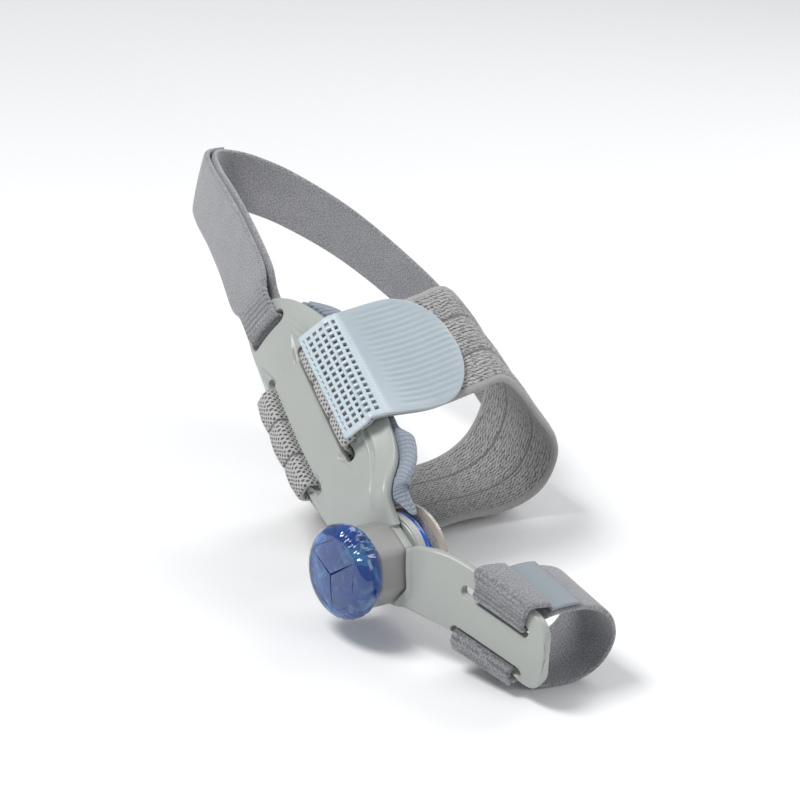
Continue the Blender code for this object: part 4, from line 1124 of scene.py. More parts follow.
def knob_profile():
    """The knob's outline: a low dome, a round rim and a tapered back with its spindle."""
    back = HOUSING[0] - GAP
    depth = back - KNOB_FACE
    shoulder = KNOB_RADIUS - KNOB_RIM
    profile = [(0, KNOB_FACE)]
    for step in range(1, 12):
        share = step / 12
        profile.append((shoulder * share, KNOB_FACE + depth * KNOB_DOME * share**2.2))
    for step in range(15):
        angle = pi / 2 * step / 14
        place = KNOB_FACE + depth * (KNOB_DOME + KNOB_SIDE * (1 - cos(angle)))
        profile.append((shoulder + KNOB_RIM * sin(angle), place))
    profile += [(KNOB_RADIUS * radius, KNOB_FACE + depth * share) for radius, share in KNOB_BACK_ROWS]
    end = back + SPINDLE_SOCKET
    return [*profile, (SPINDLE_RADIUS, back), (SPINDLE_RADIUS, end), (0, end)]


def face_lines():
    """The grooves on the knob's face: a side past each grip, one between grips and a spoke to each."""
    reach = KNOB_RADIUS - KNOB_RIM * 0.62
    group = 2 * pi / GRIP_GROUPS
    lines = []
    for index in range(GRIP_GROUPS):
        start = radians(GRIP_TURN) + index * group
        end, following = start + GRIP_SHARE * group, start + group
        corners = [(reach * cos(angle), reach * sin(angle)) for angle in (start, end, following)]
        lines += [(corners[0], corners[1]), (corners[1], corners[2]), ((0, 0), corners[0])]
    return lines


def build_knob():
    """The turning knob in clear blue plastic, grooved and ridged, over a core that shows through it."""
    # The knob's clear blue carries patches of painted light.
    plastic = clear_blue("polished_blue_polycarbonate", "blue", "blue_painted_light", 0.85)
    # The grooves take a darker copy of the plastic as painted shade: hardly any light comes back from them.
    groove_shade_plastic = clear_blue("blue_polycarbonate_groove", "groove", "groove_bright", 0.2)
    knob = turned("turning_knob", knob_profile(), KNOB_SIDES, plastic, shape=grip)
    width = chosen_size("groove_width")
    for index, ((x0, z0), (x1, z1)) in enumerate(face_lines()):
        along = np.array((x1 - x0, 0, z1 - z0))
        side = np.array((-along[2], 0, along[0])) / np.linalg.norm(along) * width
        low = KNOB_FACE + (HOUSING[0] - GAP - KNOB_FACE) * GROOVE_FLOOR
        ends = []
        for x, z in ((x0, z0), (x1, z1)):
            sunk = low if hypot(x, z) > KNOB_RIM else KNOB_FACE + GROOVE_DEPTH
            middle = np.array((x, sunk, z))
            top = np.array((x, KNOB_FACE - GROOVE_DEPTH, z))
            ends.append([middle, top + side * GROOVE_SPREAD, top - side * GROOVE_SPREAD])
        carve(knob, prism(f"groove_{index}", ends, groove_shade_plastic), sharp=35)
    placed(knob, "knob", "blue_plastic", "knob")
    # The core takes a darker copy of the plastic as painted shade, with patches of painted highlight, placed
    # by noise, for light caught on its facets.
    core_shade_plastic = clear_blue("blue_polycarbonate_core", "core", "core_painted_highlight", 0.25)
    core = turned("knob_core", core_profile(), 6, core_shade_plastic)
    shade(core, 10)
    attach(core, "knob")


def core_profile():
    """The hub inside the knob that carries its spindle."""
    depth = HOUSING[0] - GAP - KNOB_FACE
    return [(KNOB_RADIUS * radius, KNOB_FACE + depth * share) for radius, share in CORE_ROWS]


def notch_distance(along, height):
    """How far each place on the arm is from the housing's outline."""
    border = np.array([(x, z) for x, _, z in housing_outline(NOTCH_GAP, 0)])
    sides = np.roll(border, -1, axis=0) - border
    dense = np.concatenate([border + sides * share for share in np.linspace(0, 1, 8)[:-1]])
    return edge_distance(along, height, dense)


def build_arm():
    """The curved arm along the big toe: round edges, a soft step by the housing and lipped slots."""
    bend = chosen_size("arm_round")
    root = ARM_ROWS[0][0] * ARM_TIP
    along, height, border = shell_grid(arm_edges, root, ARM_TIP, PLATE_STEP * 0.8, bend)
    distance = edge_distance(along, height, border)
    step = smooth(ARM_STEP_START, ARM_STEP_END, notch_distance(along, height))
    lift = -round_over(distance, bend) - ARM_STEP_DROP * (1 - step)
    wall_thickness = ARM_THICKNESS * table_value(ARM_ROWS, 2, along / ARM_TIP)
    back = -wall_thickness + round_over(distance, bend / 2)
    arm = shell("toe_lever", arm_surface, along, height, lift, back, grey_plastic())
    notch_ends = (-2 * ARM_ROOT_DEPTH, FLANGE[1] - FLANGE_DEPTH)
    carve(arm, prism("notch", [housing_outline(NOTCH_GAP, depth) for depth in notch_ends]))
    half = LUG_HEIGHT / 2 + GAP
    carve(arm, block(
        "lug_pocket",
        (HINGE.x - KNUCKLE_RADIUS - POCKET_GAP, HINGE.y - KNUCKLE_RADIUS - GAP, -half),
        (HINGE.x + KNUCKLE_RADIUS + POCKET_GAP, 0, half),
    ))
    carve(arm, upright_rod("pin_bore", PIN_RADIUS + GAP, PIN_LENGTH + 2 * GAP))
    for name, slot in (("arm_upper_slot", ARM_UPPER_SLOT), ("arm_lower_slot", ARM_LOWER_SLOT)):
        carve(arm, slot_cutter(name, arm_surface, slot, ARM_SLOT_SPAN, ARM_SLOT_WIDTH, ARM_THICKNESS))
    placed(arm, "toe_arm", "grey_plastic", "toe_arm")
    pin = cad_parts["hinge_pin"]
    pin.data.materials.clear()
    pin.data.materials.append(shared("drawn_steel_pin", drawn_steel, chosen("steel")))


def padding_floor(along):
    """The padding's lower edge: round the hub's discs, over the lower slot and clear of the heel strap."""
    clear = GEL_RADIUS + PADDING_GAP
    round_hub = np.sqrt(np.maximum(clear**2 - along**2, 0))
    near = np.clip((along - clear) / PADDING_CORNER, 0, 1)
    far = np.clip((along - PADDING_STEP) / PADDING_CORNER, 0, 1)
    return np.where(along < clear, round_hub, PADDING_HEEL * far - PADDING_LOW * near * (1 - far))


def padding_edges(along):
    """Where the padding's lower and upper edges lie. The upper one is outside the plate's own."""
    under_strap = STRAP_WIDTH / 2 + PADDING_CORNER - np.abs(along - UPPER_SLOT[0])
    pressed = PADDING_PRESS * smooth(0, 1, under_strap / PADDING_CORNER)
    turns = np.linspace(0, pi / 2, 7)
    overhang = PADDING_OVERHANG * (0.3 + 0.7 * smooth(0, PADDING_TAPER, PADDING_END - along))
    reached = [plate_edges(along - overhang * sin(turn))[1] + overhang * cos(turn) for turn in turns]
    return padding_floor(along), np.max(reached, axis=0) - pressed


def build_padding():
    """The foam pad behind the plate, faced with twill, its rim swelling a little over the plate's edge."""
    bend = PADDING_ROUND
    along, across, border = shell_grid(padding_edges, PADDING_START, PADDING_END, PADDING_GRID_STEP, bend)
    distance = edge_distance(along, across, border)
    start = UPPER_SLOT[1] + SLOT_WIDTH
    room = (STRAP_THICKNESS + 2 * GAP) * (1 - smooth(0, 1, (across - start) / STRAP_THICKNESS))
    low, high = across[:, :1], across[:, -1:]
    share = (across - low) / (high - low)
    thin = 1 - 0.25 * np.abs(2 * share - 1) ** 3
    ribs = TWILL_HEIGHT * np.cos(2 * pi * (along + TWILL_SLANT * across) / TWILL_PITCH)
    front = -PLATE_THICKNESS - GAP - room
    back = front - PADDING_THICKNESS * thin
    free = smooth(0, 0.0012, across - plate_edges(along)[1])
    swell = PADDING_SWELL * free * smooth(0, bend, distance)
    drop = round_over(distance, bend)
    front = front + swell - drop * 0.85 + ribs * free
    back = back + np.minimum(drop * 0.9, PADDING_THICKNESS * 0.45) + ribs
    cloth = shared("twill_on_foam", twill_facing, chosen("pad"), chosen("pad_valley_shade"))
    pad = shell("plate_cushion", plate_surface, along, across, front, back, cloth, sharp=80)
    placed(pad, "brace", "pad_cloth", "plate_pad")


def row_on(surface, middle, lift, half, slant):
    """A strap's left, middle and right point on a surface, across its slanted width."""
    reach = np.array((half, 0, -half))
    turn = radians(slant)
    points = lifted(surface, middle[0] + reach * cos(turn), middle[1] + reach * sin(turn), np.full(3, lift))
    return points.ravel()


def free_row(middle, side, half):
    """A strap's left, middle and right point where nothing hard shapes it."""
    middle, reach = np.array(middle, float), unit(np.array(side, float)) * half
    return np.concatenate((middle - reach, middle, middle + reach))


def shares_across(width, step):
    """Shares of a strap's half width, closer together at its edges."""
    plain = np.linspace(-0.92, 0.92, int(round(width * 0.92 / step)))
    edge = np.array((1, 0.995, 0.98, 0.95))
    return np.concatenate((-edge, plain, edge[::-1]))


def between_sides(rows, shares):
    """Points across a strap at shares of its half width, on curves through its left, middle and right."""
    left, middle, right = (rows[:, None, start:start + 3] for start in (0, 3, 6))
    by_left, by_right = shares * (shares - 1) / 2, shares * (shares + 1) / 2
    return left * by_left + middle * (1 - shares**2) + right * by_right


def grid_normals(grid):
    """The normals of a grid of points."""
    return unit(np.cross(np.gradient(grid, axis=0), np.gradient(grid, axis=1)))


def travel(route):
    """How far along a route each of its rows is, by their middle points."""
    steps = np.linalg.norm(np.diff(np.array(route)[:, 3:6], axis=0), axis=1)
    return np.concatenate(((0,), np.cumsum(steps)))


def band(name, rows, width, thickness, material, shape, step=STRAP_STEP, fine=STRAP_STEP):
    """A strap along its rows.

    The shape gives its front and back lifts and its zone, by places along and across it.
    """
    route = smooth_route(rows, step)
    shares = shares_across(width, fine)[None, :, None]
    grid = between_sides(route, shares)
    normals = grid_normals(grid)
    travelled = travel(route)
    along = np.repeat(travelled[:, None], grid.shape[1], axis=1)
    across = np.repeat(shares[..., 0] * width / 2, grid.shape[0], axis=0)
    from_side = width / 2 - np.abs(across)
    from_end = np.minimum(along, travelled[-1] - along)
    bend = thickness * 0.5
    full = np.sqrt(1 - np.clip(1 - np.minimum(from_side, from_end) / bend, 0, 0.98) ** 2)
    front, back, zone = shape(along, across)
    outer = grid + normals * (front * full)[..., None]
    inner = grid - normals * (back * full)[..., None]
    run = np.stack((along / MM, across / MM, zone), axis=-1)
    return wall(name, outer, inner, material, run, sharp=80), travelled[-1]


def through_slot(surface, slot, width, wall_thickness, turn, half, way):
    """A strap's rows from outside a wall into a slot, round the slot's edge on the side of way."""
    edge = slot[1] + way * width / 2
    places = (
        (edge + way * BEND_START * turn, turn),
        (edge, turn),
        (edge - way * BEND_MIDDLE * turn, BEND_MIDDLE * turn),
        (edge - way * turn, 0),
        (edge - way * turn, -wall_thickness / 2),
    )
    return [row_on(surface, (slot[0], across), lift, half, slot[2]) for across, lift in places]


def inside_slot(surface, slot, width, wall_thickness, turn, half, way):
    """A strap's rows out of a slot behind its wall, round the slot's edge on the side of way."""
    edge = slot[1] + way * width / 2
    places = (
        (edge - way * turn, -wall_thickness),
        (edge - way * BEND_MIDDLE * turn, -wall_thickness - BEND_MIDDLE * turn),
        (edge, -wall_thickness - turn),
    )
    return [row_on(surface, (slot[0], across), lift, half, slot[2]) for across, lift in places]


def foot_point(forward, across, height):
    """A point on the foot's outline, by shares of its sizes."""
    return np.array((forward * HEEL_REACH, across * FOOT_WIDTH, height * INSTEP_HEIGHT - SOLE_DEPTH))


def midfoot_rows():
    """The strap's rows from its end under the tab, through both slots and round the foot to the tab."""
    half, turn, wall_thickness = STRAP_WIDTH / 2, STRAP_LIFT, PLATE_THICKNESS
    upper = (plate_surface, UPPER_SLOT, SLOT_WIDTH, wall_thickness, turn, half)
    lower = (plate_surface, LOWER_SLOT, SLOT_WIDTH, wall_thickness, turn, half)
    rows = through_slot(*upper, 1) + inside_slot(*upper, -1)
    rows += inside_slot(*lower, 1)[::-1] + through_slot(*lower, -1)[::-1]
    edge = float(plate_edges(LOWER_SLOT[0])[0])
    for beyond, lift in ROLL_ROWS:
        middle = (LOWER_SLOT[0], edge - beyond * STRAP_THICKNESS)
        rows.append(row_on(plate_surface, middle, lift * STRAP_THICKNESS, half, LOWER_SLOT[2]))
    rolled = len(rows)
    for forward, across, height, pitch in INSTEP_ROWS:
        side = (cos(radians(pitch)), 0, -sin(radians(pitch)))
        rows.append(free_row(foot_point(forward, across, height), side, half))
    upper_edge = float(plate_edges(UPPER_SLOT[0])[1])
    for share in RIM_SHARES:
        middle = (UPPER_SLOT[0], upper_edge * share)
        rows.append(row_on(plate_surface, middle, STRAP_LIFT + RIM_STEP, half, UPPER_SLOT[2]))
    return rows, rolled


def channels(across, seams, half):
    """The swell between stitched seams across a strap, from 0 at a seam to 1."""
    places = np.array((-half, *seams, half))
    nearest = np.abs(across[..., None] - places).min(axis=-1)
    return np.sqrt(np.clip(nearest / (half / 3), 0, 1))


def build_midfoot_strap():
    """The elastic strap round the middle of the foot, sewn into three padded channels."""
    rows, rolled = midfoot_rows()
    half = STRAP_WIDTH / 2
    seams = (-SEAM_PLACE, SEAM_PLACE)
    mesh_end = route_length(rows[:rolled]) + 0.008
    slot_places = (route_length(rows[:ROWS_TO_UPPER_SLOT]), route_length(rows[:ROWS_TO_LOWER_SLOT]))
    total = route_length(smooth_route(rows, WEAVE_ROUTE_STEP))

    def shape(along, across):
        zone = smooth(mesh_end, mesh_end + 0.006, along) * (1 - smooth(total - 0.012, total - 0.006, along))
        deep = 1 - 0.30 * zone
        groove = sum(np.exp(-((across - seam) / (0.00045 + 0.0003 * deep)) ** 2) for seam in seams) * deep
        swell = channels(across, seams, half)
        in_slot = sum(np.exp(-((along - place) / 0.0016) ** 2) for place in slot_places)
        front = STRAP_THICKNESS * (0.34 + (0.12 + 0.26 * deep) * swell * (1 - in_slot) - 0.22 * groove)
        back = STRAP_THICKNESS * (0.44 + 0.04 * swell)
        inside = half - SELVEDGE_WIDTH
        selvedge = smooth(inside - 0.0004, inside + 0.0004, np.abs(across))
        ribs = WEAVE_RIB_HEIGHT * np.sin(2 * pi * across / WEAVE_RIB_PITCH) * zone * (1 - selvedge)
        return front + ribs, back, zone

    cloth = shared("knitted_polyester_elastic", elastic_webbing, chosen("webbing"), chosen("webbing_shade_and_stitches"))
    strap, length = band(
        "instep_strap", rows, STRAP_WIDTH, STRAP_THICKNESS, cloth, shape, WEAVE_ROUTE_STEP, WEAVE_STEP
    )
    placed(strap, "brace", "webbing", "midfoot_strap")


def hole_edges(count):
    """The edges of a centred row of the grid's square holes."""
    middles = [(index - (count - 1) / 2) * GRID_PITCH for index in range(count)]
    return [middle + side * GRID_HOLE / 2 for middle in middles for side in (-1, 1)]


def divided(edges, hole_cells=4, bar_cells=3):
    """Places between the edges of holes and bars in turn, with the holes marked."""
    places, holes = [edges[0]], []
    for index, (start, end) in enumerate(zip(edges, edges[1:])):
        cells = hole_cells if index % 2 == 0 else bar_cells
        for step in range(cells):
            places.append(start + (end - start) * (step + 1) / cells)
            holes.append(index % 2 == 0)
    return np.array(places), np.array(holes)


def resampled(rows, distances):
    """Rows at these distances along a smooth route, measured on its middle points."""
    route = smooth_route(rows, STRAP_STEP)
    travelled = travel(route)
    return np.stack([np.interp(distances, travelled, route[:, column]) for column in range(9)], axis=-1)


def tab_rows():
    """The hook tab's rows, from the plain face over the rim and up the instep."""
    half = TAB_WIDTH / 2
    lift = STRAP_LIFT + RIM_STEP + STRAP_THICKNESS / 2 + TAB_GAP + TAB_THICKNESS / 2
    edge = float(plate_edges(UPPER_SLOT[0])[1])
    places = (TAB_START, *(edge * share for share in (0.42, *reversed(RIM_SHARES))))
    rows = [row_on(plate_surface, (UPPER_SLOT[0], across), lift, half, UPPER_SLOT[2]) for across in places]
    raised = (STRAP_THICKNESS + TAB_THICKNESS) / 2 + TAB_GAP
    points = [foot_point(*row[:3]) for row in INSTEP_ROWS]
    for index in range(len(INSTEP_ROWS) - 1, len(INSTEP_ROWS) - 1 - TAB_ROWS, -1):
        pitch = radians(INSTEP_ROWS[index][3])
        side = np.array((cos(pitch), 0, -sin(pitch)))
        ahead = points[min(index + 1, len(points) - 1)] - points[index - 1]
        rows.append(free_row(points[index] + unit(np.cross(ahead, side)) * raised, side, half))
    return rows


def build_strap_tab():
    """The hook tab: a pierced grid, a smooth strip and a ribbed panel with a round end."""
    half = TAB_WIDTH / 2
    grid_along, holes_along = divided(hole_edges(GRID_COLUMNS))
    first = (GRID_PITCH - GRID_HOLE) - grid_along[0]
    grid_along = grid_along + first
    edge = grid_along[0] * np.array((0, 0.12, 0.35, 0.7))
    plain_start = grid_along[-1]
    plain = np.linspace(plain_start + 0.0004, TAB_REACH - TAB_ROUND, 26)
    end = TAB_REACH - TAB_ROUND * (1 - np.sin(np.linspace(0, 1, 30)[1:-1] * pi / 2 * 0.975))
    distances = np.concatenate((edge, grid_along, plain, end))
    unpierced = np.zeros(len(plain) + len(end), bool)
    holes_along = np.concatenate((np.zeros(len(edge), bool), holes_along, unpierced))
    grid_across, holes_across = divided(hole_edges(GRID_ROWS))
    margin = half - grid_across[-1]
    side = np.array((0.3, 0.65, 0.88, 1)) * margin
    across = np.concatenate((grid_across[0] - side[::-1], grid_across, grid_across[-1] + side))
    holes_across = np.concatenate((np.zeros(4, bool), holes_across, np.zeros(4, bool)))
    rows = resampled(tab_rows(), distances)
    bend = np.clip((distances - TAB_REACH + TAB_ROUND) / TAB_ROUND, 0, 1)
    width = np.sqrt(1 - bend**2)[:, None]
    shares = (across / half)[None] * width
    grid = between_sides(rows, shares[..., None])
    normals = -grid_normals(grid)
    place = np.repeat(distances[:, None], len(across), axis=1)
    real_across = shares * half
    ribbed = smooth(plain_start + 0.0050, plain_start + 0.0085, place)
    outline = np.minimum(half * width - np.abs(real_across), TAB_REACH - place)
    rib_height = chosen_size("rib_height") * ribbed * smooth(0.0004, 0.0016, outline)
    ribs = rib_height * np.cos(2 * pi * real_across / (TAB_WIDTH / TAB_RIBS))
    ridge = TAB_RIDGE_HEIGHT * np.exp(-((place - plain_start - 0.0011) / 0.0007) ** 2)
    full = np.sqrt(1 - np.clip(1 - np.minimum(outline, place) / (TAB_THICKNESS * 0.55), 0, 0.96) ** 2)
    in_grid = 1 - smooth(plain_start + 0.0004, plain_start + 0.0034, place)
    bar_turn = 2 * pi * real_across / GRID_PITCH + pi * (1 - GRID_ROWS % 2)
    bars = TAB_BAR_HEIGHT * in_grid * np.cos(bar_turn) ** 2
    front = (TAB_THICKNESS / 2 + ribs + ridge + bars) * full
    back = TAB_THICKNESS / 2 * full
    run = np.stack((place / MM, real_across / MM, in_grid), axis=-1)
    is_hole = holes_along[:, None] & holes_across[None, :]
    nylon = shared("moulded_nylon_hook", moulded_hook_nylon, chosen("tab"), chosen("tab_bars"))
    outer, inner = grid + normals * front[..., None], grid - normals * back[..., None]
    tab = wall("hook_tab", outer, inner, nylon, run, is_hole, 35)
    placed(tab, "brace", "hook_tab", "strap_tab")


def creases(along, across, place, reach, pitch, lean=0.0):
    """Folds across a strap where it bunches at a slot, dying away over a reach on both sides of a place."""
    away = np.abs(along - place)
    bunched = np.exp(-((away / reach) ** 2)) * smooth(0.0, 0.0012, away)
    wobble = 0.25 * np.sin(across / 0.0031 + 40 * place) + 0.18 * np.sin(across / 0.0013)
    wave_share = np.cos(2 * pi * (along + lean * across) / pitch + wobble * 2.2)
    # The second share is the hollows between the folds, a mask for painted shade.
    return bunched * wave_share, bunched * np.clip(-wave_share, 0, 1) ** 1.5


def foot_row(row, half, lift):
    """A strap's row on the heel, a little outside or inside the line that both layers follow."""
    forward, across, height, bow, lean, tilt, facing = row
    out = np.array((sin(radians(facing)), -cos(radians(facing)), 0))
    way = np.array((cos(radians(facing)), sin(radians(facing)), 0))
    upright = np.array((0, 0, cos(radians(tilt)))) - out * sin(radians(tilt))
    side = upright * cos(radians(lean)) + way * sin(radians(lean))
    middle = foot_point(forward, across, height) + out * lift
    inward = out * bow * HEEL_STRAP_WIDTH
    return np.concatenate((middle + side * half - inward, middle, middle - side * half - inward))


def heel_rows():
    """The heel strap's rows, and how many of them come before the slot."""
    along, across, slant = HEEL_SLOT
    turn = HEEL_STRAP_THICKNESS / 2 + GAP
    edge = along + SLOT_WIDTH / 2
    half = HEEL_SLOT_SPAN / 2 - SLOT_WIDTH / 2
    inside = -PLATE_THICKNESS
    places = (
        (PLATE_LENGTH + turn, turn),
        (edge + turn, turn),
        (edge, turn),
        (edge - BEND_MIDDLE * turn, BEND_MIDDLE * turn),
        (edge - turn, 0),
        (edge - turn, inside),
        (edge - BEND_MIDDLE * turn, inside - BEND_MIDDLE * turn),
        (edge, inside - turn),
        (edge + turn, inside - turn),
        (PLATE_LENGTH + turn, inside - turn),
    )
    rows = [foot_row(row, HEEL_STRAP_WIDTH / 2, turn) for row in reversed(HEEL_ROWS[:OUTER_ROWS])]
    before = len(rows) + 4
    rows += [row_on(plate_surface, (place, across), lift, half, slant) for place, lift in places]
    rows += [foot_row(row, HEEL_STRAP_WIDTH / 2, -turn) for row in HEEL_ROWS]
    return rows, before


def route_length(rows):
    """The length of the line through the middles of some rows."""
    return travel(rows)[-1]


def build_heel_strap():
    """The brushed strap round the back of the ankle, folded through its slot and bunched there."""
    rows, before = heel_rows()
    slot_place = route_length(rows[:before])
    fold_depth = chosen_size("fold_depth")

    def shape(along, across):
        folds, hollows = creases(along, across, slot_place, FOLD_REACH, FOLD_PITCH, lean=0.05)
        soft = 0.00010 * np.sin(along / 0.006 + across / 0.004)
        front = HEEL_STRAP_THICKNESS / 2 + fold_depth * folds + soft
        # The hollows between the folds are the zone that the cloth paints with shade.
        return front, np.full_like(along, HEEL_STRAP_THICKNESS / 2), hollows

    strap, length = band(
        "ankle_strap", rows, HEEL_STRAP_WIDTH, HEEL_STRAP_THICKNESS, brushed_cloth(), shape, FOLD_STEP
    )
    placed(strap, "brace", "brushed_cloth", "heel_strap")


def toe_rows(first, last, lift, half):
    """Rows round the toe, this far outside the line of the strap's inner layer."""
    slant = radians(ARM_UPPER_SLOT[2])
    side = (-cos(slant), 0, -sin(slant))
    places = [np.array((f * ARM_TIP, a * TOE_WIDTH, h * TOE_HEIGHT - SOLE_DEPTH)) for a, h, f in TOE_ROWS]
    rows = []
    for index in range(first, last):
        way = places[min(index + 1, len(places) - 1)] - places[max(index - 1, 0)]
        rows.append(free_row(places[index] + unit(np.array((0, -way[2], way[1]))) * lift, side, half))
    return rows


def beside(slot, shift):
    """A slot's middle and slant, moved along the slot."""
    return slot[0] + shift * cos(radians(slot[2])), slot[1] + shift * sin(radians(slot[2])), slot[2]


def build_toe_strap():
    """The brushed band round the big toe, through both slots of the arm, its end over a smooth panel."""
    half, pinch = TOE_STRAP_WIDTH / 2, TOE_STRAP_PINCH / 2
    snug = (ARM_SLOT_SPAN - ARM_SLOT_WIDTH) / 2 - GAP
    turn = TOE_STRAP_THICKNESS / 2 + GAP
    over = TOE_STRAP_THICKNESS + TOE_TAB_THICKNESS + 2 * GAP
    upper_slot = beside(ARM_UPPER_SLOT, TOE_STRAP_SHIFT)
    lower_slot = beside(ARM_LOWER_SLOT, -TOE_STRAP_SHIFT / 2)
    upper = float(arm_edges(upper_slot[0])[1])
    top = (arm_surface, upper_slot, ARM_SLOT_WIDTH, ARM_THICKNESS, turn, pinch, 1)
    bottom = (arm_surface, lower_slot, ARM_SLOT_WIDTH, ARM_THICKNESS, turn, snug, -1)
    rows = toe_rows(0, 1, over, half)
    rows.append(row_on(arm_surface, (upper_slot[0], upper + turn), turn, half, upper_slot[2]))
    rows += through_slot(*top)
    upper_place = route_length(rows)
    rows += inside_slot(*top) + toe_rows(0, len(TOE_ROWS), 0, half)
    rows += inside_slot(*bottom)[::-1] + through_slot(*bottom)[::-1]
    lower_place = route_length(rows)
    lower = float(arm_edges(lower_slot[0])[0])
    for beyond, lift in TOE_ROLL_ROWS:
        middle = (lower_slot[0], lower - beyond * TOE_STRAP_THICKNESS)
        rows.append(row_on(arm_surface, middle, lift * TOE_STRAP_THICKNESS, half, lower_slot[2]))

    def shape(along, across):
        near_upper = creases(along, across, upper_place - 0.002, TOE_FOLD_REACHES[0], TOE_FOLD_PITCH)
        near_lower = creases(along, across, lower_place, TOE_FOLD_REACHES[1], TOE_FOLD_PITCH)
        front = TOE_STRAP_THICKNESS / 2 + TOE_FOLD_DEPTH * (near_upper[0] + near_lower[0])
        back = np.full_like(along, TOE_STRAP_THICKNESS / 2)
        # The hollows between the folds are the zone that the cloth paints with shade.
        return front, back, np.clip(near_upper[1] + near_lower[1], 0, 1)

    strap, length = band(
        "toe_band", rows, TOE_STRAP_WIDTH, TOE_STRAP_THICKNESS, brushed_cloth(), shape, FOLD_STEP, WEAVE_STEP
    )
    placed(strap, "toe_arm", "brushed_cloth", "toe_strap")
    lift = (TOE_STRAP_THICKNESS + TOE_TAB_THICKNESS) / 2 + GAP
    panel_plastic = shared("smooth_hook_backing", moulded_abs, chosen("panel"), 0.46)

    def plain(along, _):
        lift = np.full_like(along, TOE_TAB_THICKNESS / 2)
        return lift, lift, np.zeros_like(along)

    rows = toe_rows(0, 4, lift, half)
    rows[-1] = (rows[-2] + rows[-1]) / 2
    panel, _ = band("toe_panel", rows, TOE_STRAP_WIDTH, TOE_TAB_THICKNESS, panel_plastic, plain)
    placed(panel, "toe_arm", "grey_hook", "toe_strap_tab")


# The camera's own axes in the row frame, towards the right, up and back from its picture.
CAMERA_RIGHT = (0.623, 0.773, 0.12)
CAMERA_UP = (-0.37, 0.156, 0.916)
CAMERA_TARGET = (-0.060, 0.043, 0.012)
CAMERA_DISTANCE = 1.0
CAMERA_LENS = 152.1
SENSOR = 36.0
CAMERA_SHIFT = (-0.0106, 0.0126)
FLOOR_HEIGHT = -0.0206

LIGHTS = (
    # name, share of the key light's power, size, way to the camera, way to its right, height
    ("key", 1.00, 0.30, 0.30, -0.45, 0.70),
    ("fill", 0.22, 0.50, 0.50, 0.70, 0.25),
    ("edge", 0.30, 0.45, -0.40, 0.35, 0.60),
)


def build_camera():
    """The camera at the photograph's viewing angle. It gives its own directions to the right and back."""
    right = np.array(CAMERA_RIGHT) / np.linalg.norm(CAMERA_RIGHT)
    up = unit(np.array(CAMERA_UP) - right * (np.array(CAMERA_UP) @ right))
    back = np.cross(right, up)
    eye = np.array(CAMERA_TARGET) + back * CAMERA_DISTANCE
    data = bpy.data.cameras.new("camera")
    data.lens, data.sensor_width = CAMERA_LENS, SENSOR
    data.shift_x, data.shift_y = CAMERA_SHIFT
    data.clip_end = 20
    camera = bpy.data.objects.new("camera", data)
    bpy.context.scene.collection.objects.link(camera)
    camera.matrix_world = Matrix([(right[i], up[i], back[i], eye[i]) for i in range(3)] + [(0, 0, 0, 1)])
    bpy.context.scene.camera = camera
    return right, back


def soft_light(name, power, size, place, target):
    """A square soft light that faces a target."""
    data = bpy.data.lights.new(name, "AREA")
    data.energy, data.size = power, size
    light = bpy.data.objects.new(name, data)
    bpy.context.scene.collection.objects.link(light)
    light.location = place
    light.rotation_euler = (Vector(target) - Vector(place)).to_track_quat("-Z", "Y").to_euler()


def build_stage():
    """The pale floor, the pale surroundings, soft studio lights and the camera."""
    looks = bpy.context.scene.brace_looks
    material, tree, shader = new_material("painted_studio_floor", linear("#F7F7F7"), Roughness=0.85)
    place = add(tree, "ShaderNodeTexCoord").outputs["Object"]
    cloud = add(tree, "ShaderNodeTexNoise", {"Vector": place, "Scale": 3.0, "Detail": 2.0})
    blended(tree, shader, cloud.outputs["Fac"], linear("#F4F4F4"), linear("#FAFAFA"))
    reach = looks.floor_width / 2
    ends = ((-reach, -reach), (reach, -reach), (reach, reach), (-reach, reach))
    corners = [(x, y, FLOOR_HEIGHT) for x, y in ends]
    floor = finished("studio_floor", corners, [(0, 1, 2, 3)], material)
    scene = bpy.context.scene
    world = bpy.data.worlds.new("studio")
    scene.world = world
    world.use_nodes = True
    world.node_tree.nodes["Background"].inputs["Color"].default_value = linear("#F5F7FA")
    world.node_tree.nodes["Background"].inputs["Strength"].default_value = looks.surround
    right, back = (Vector(axis) for axis in build_camera())
    target = Vector(CAMERA_TARGET)
    for name, share, size, ahead, aside, height in LIGHTS:
        stand = target + back * ahead + right * aside + Vector((0, 0, height))
        soft_light(name, looks.key_power * share, size, stand, target)
    scene.view_settings.view_transform = "Standard"


def colour_property(name, code, description):
    """A colour that a user can change, given as sRGB hex."""
    return bpy.props.FloatVectorProperty(
        name=name, description=description, default=linear(code), subtype="COLOR", size=4, min=0, max=1,
    )


def size_property(name, value, description):
    """A length that a user can change."""
    return bpy.props.FloatProperty(
        name=name, description=description, default=value, min=0.0, precision=5, unit="LENGTH",
    )


class BraceSizes(bpy.types.PropertyGroup):
    """The sizes of the finish on the brace's pieces."""

    plate_round: size_property("Plate edge", PLATE_ROUND, "Radius of the plate's round edges")
    recess_depth: size_property("Recesses", RECESS_DEPTH, "Depth of the hollows at the slots' ends")
    arm_round: size_property("Arm edge", ARM_ROUND, "Radius of the toe arm's round edges")
    grip_depth: size_property("Grip ridges", GRIP_DEPTH, "Depth between the ridges on the knob's rim")
    groove_width: size_property("Knob grooves", GROOVE_WIDTH, "How wide the grooves in the knob's face are")
    rib_height: size_property("Tab ribs", TAB_RIB_HEIGHT, "Height of the ribs on the hook tab")
    fold_depth: size_property("Strap folds", FOLD_DEPTH, "Depth of the heel strap's folds at its slot")


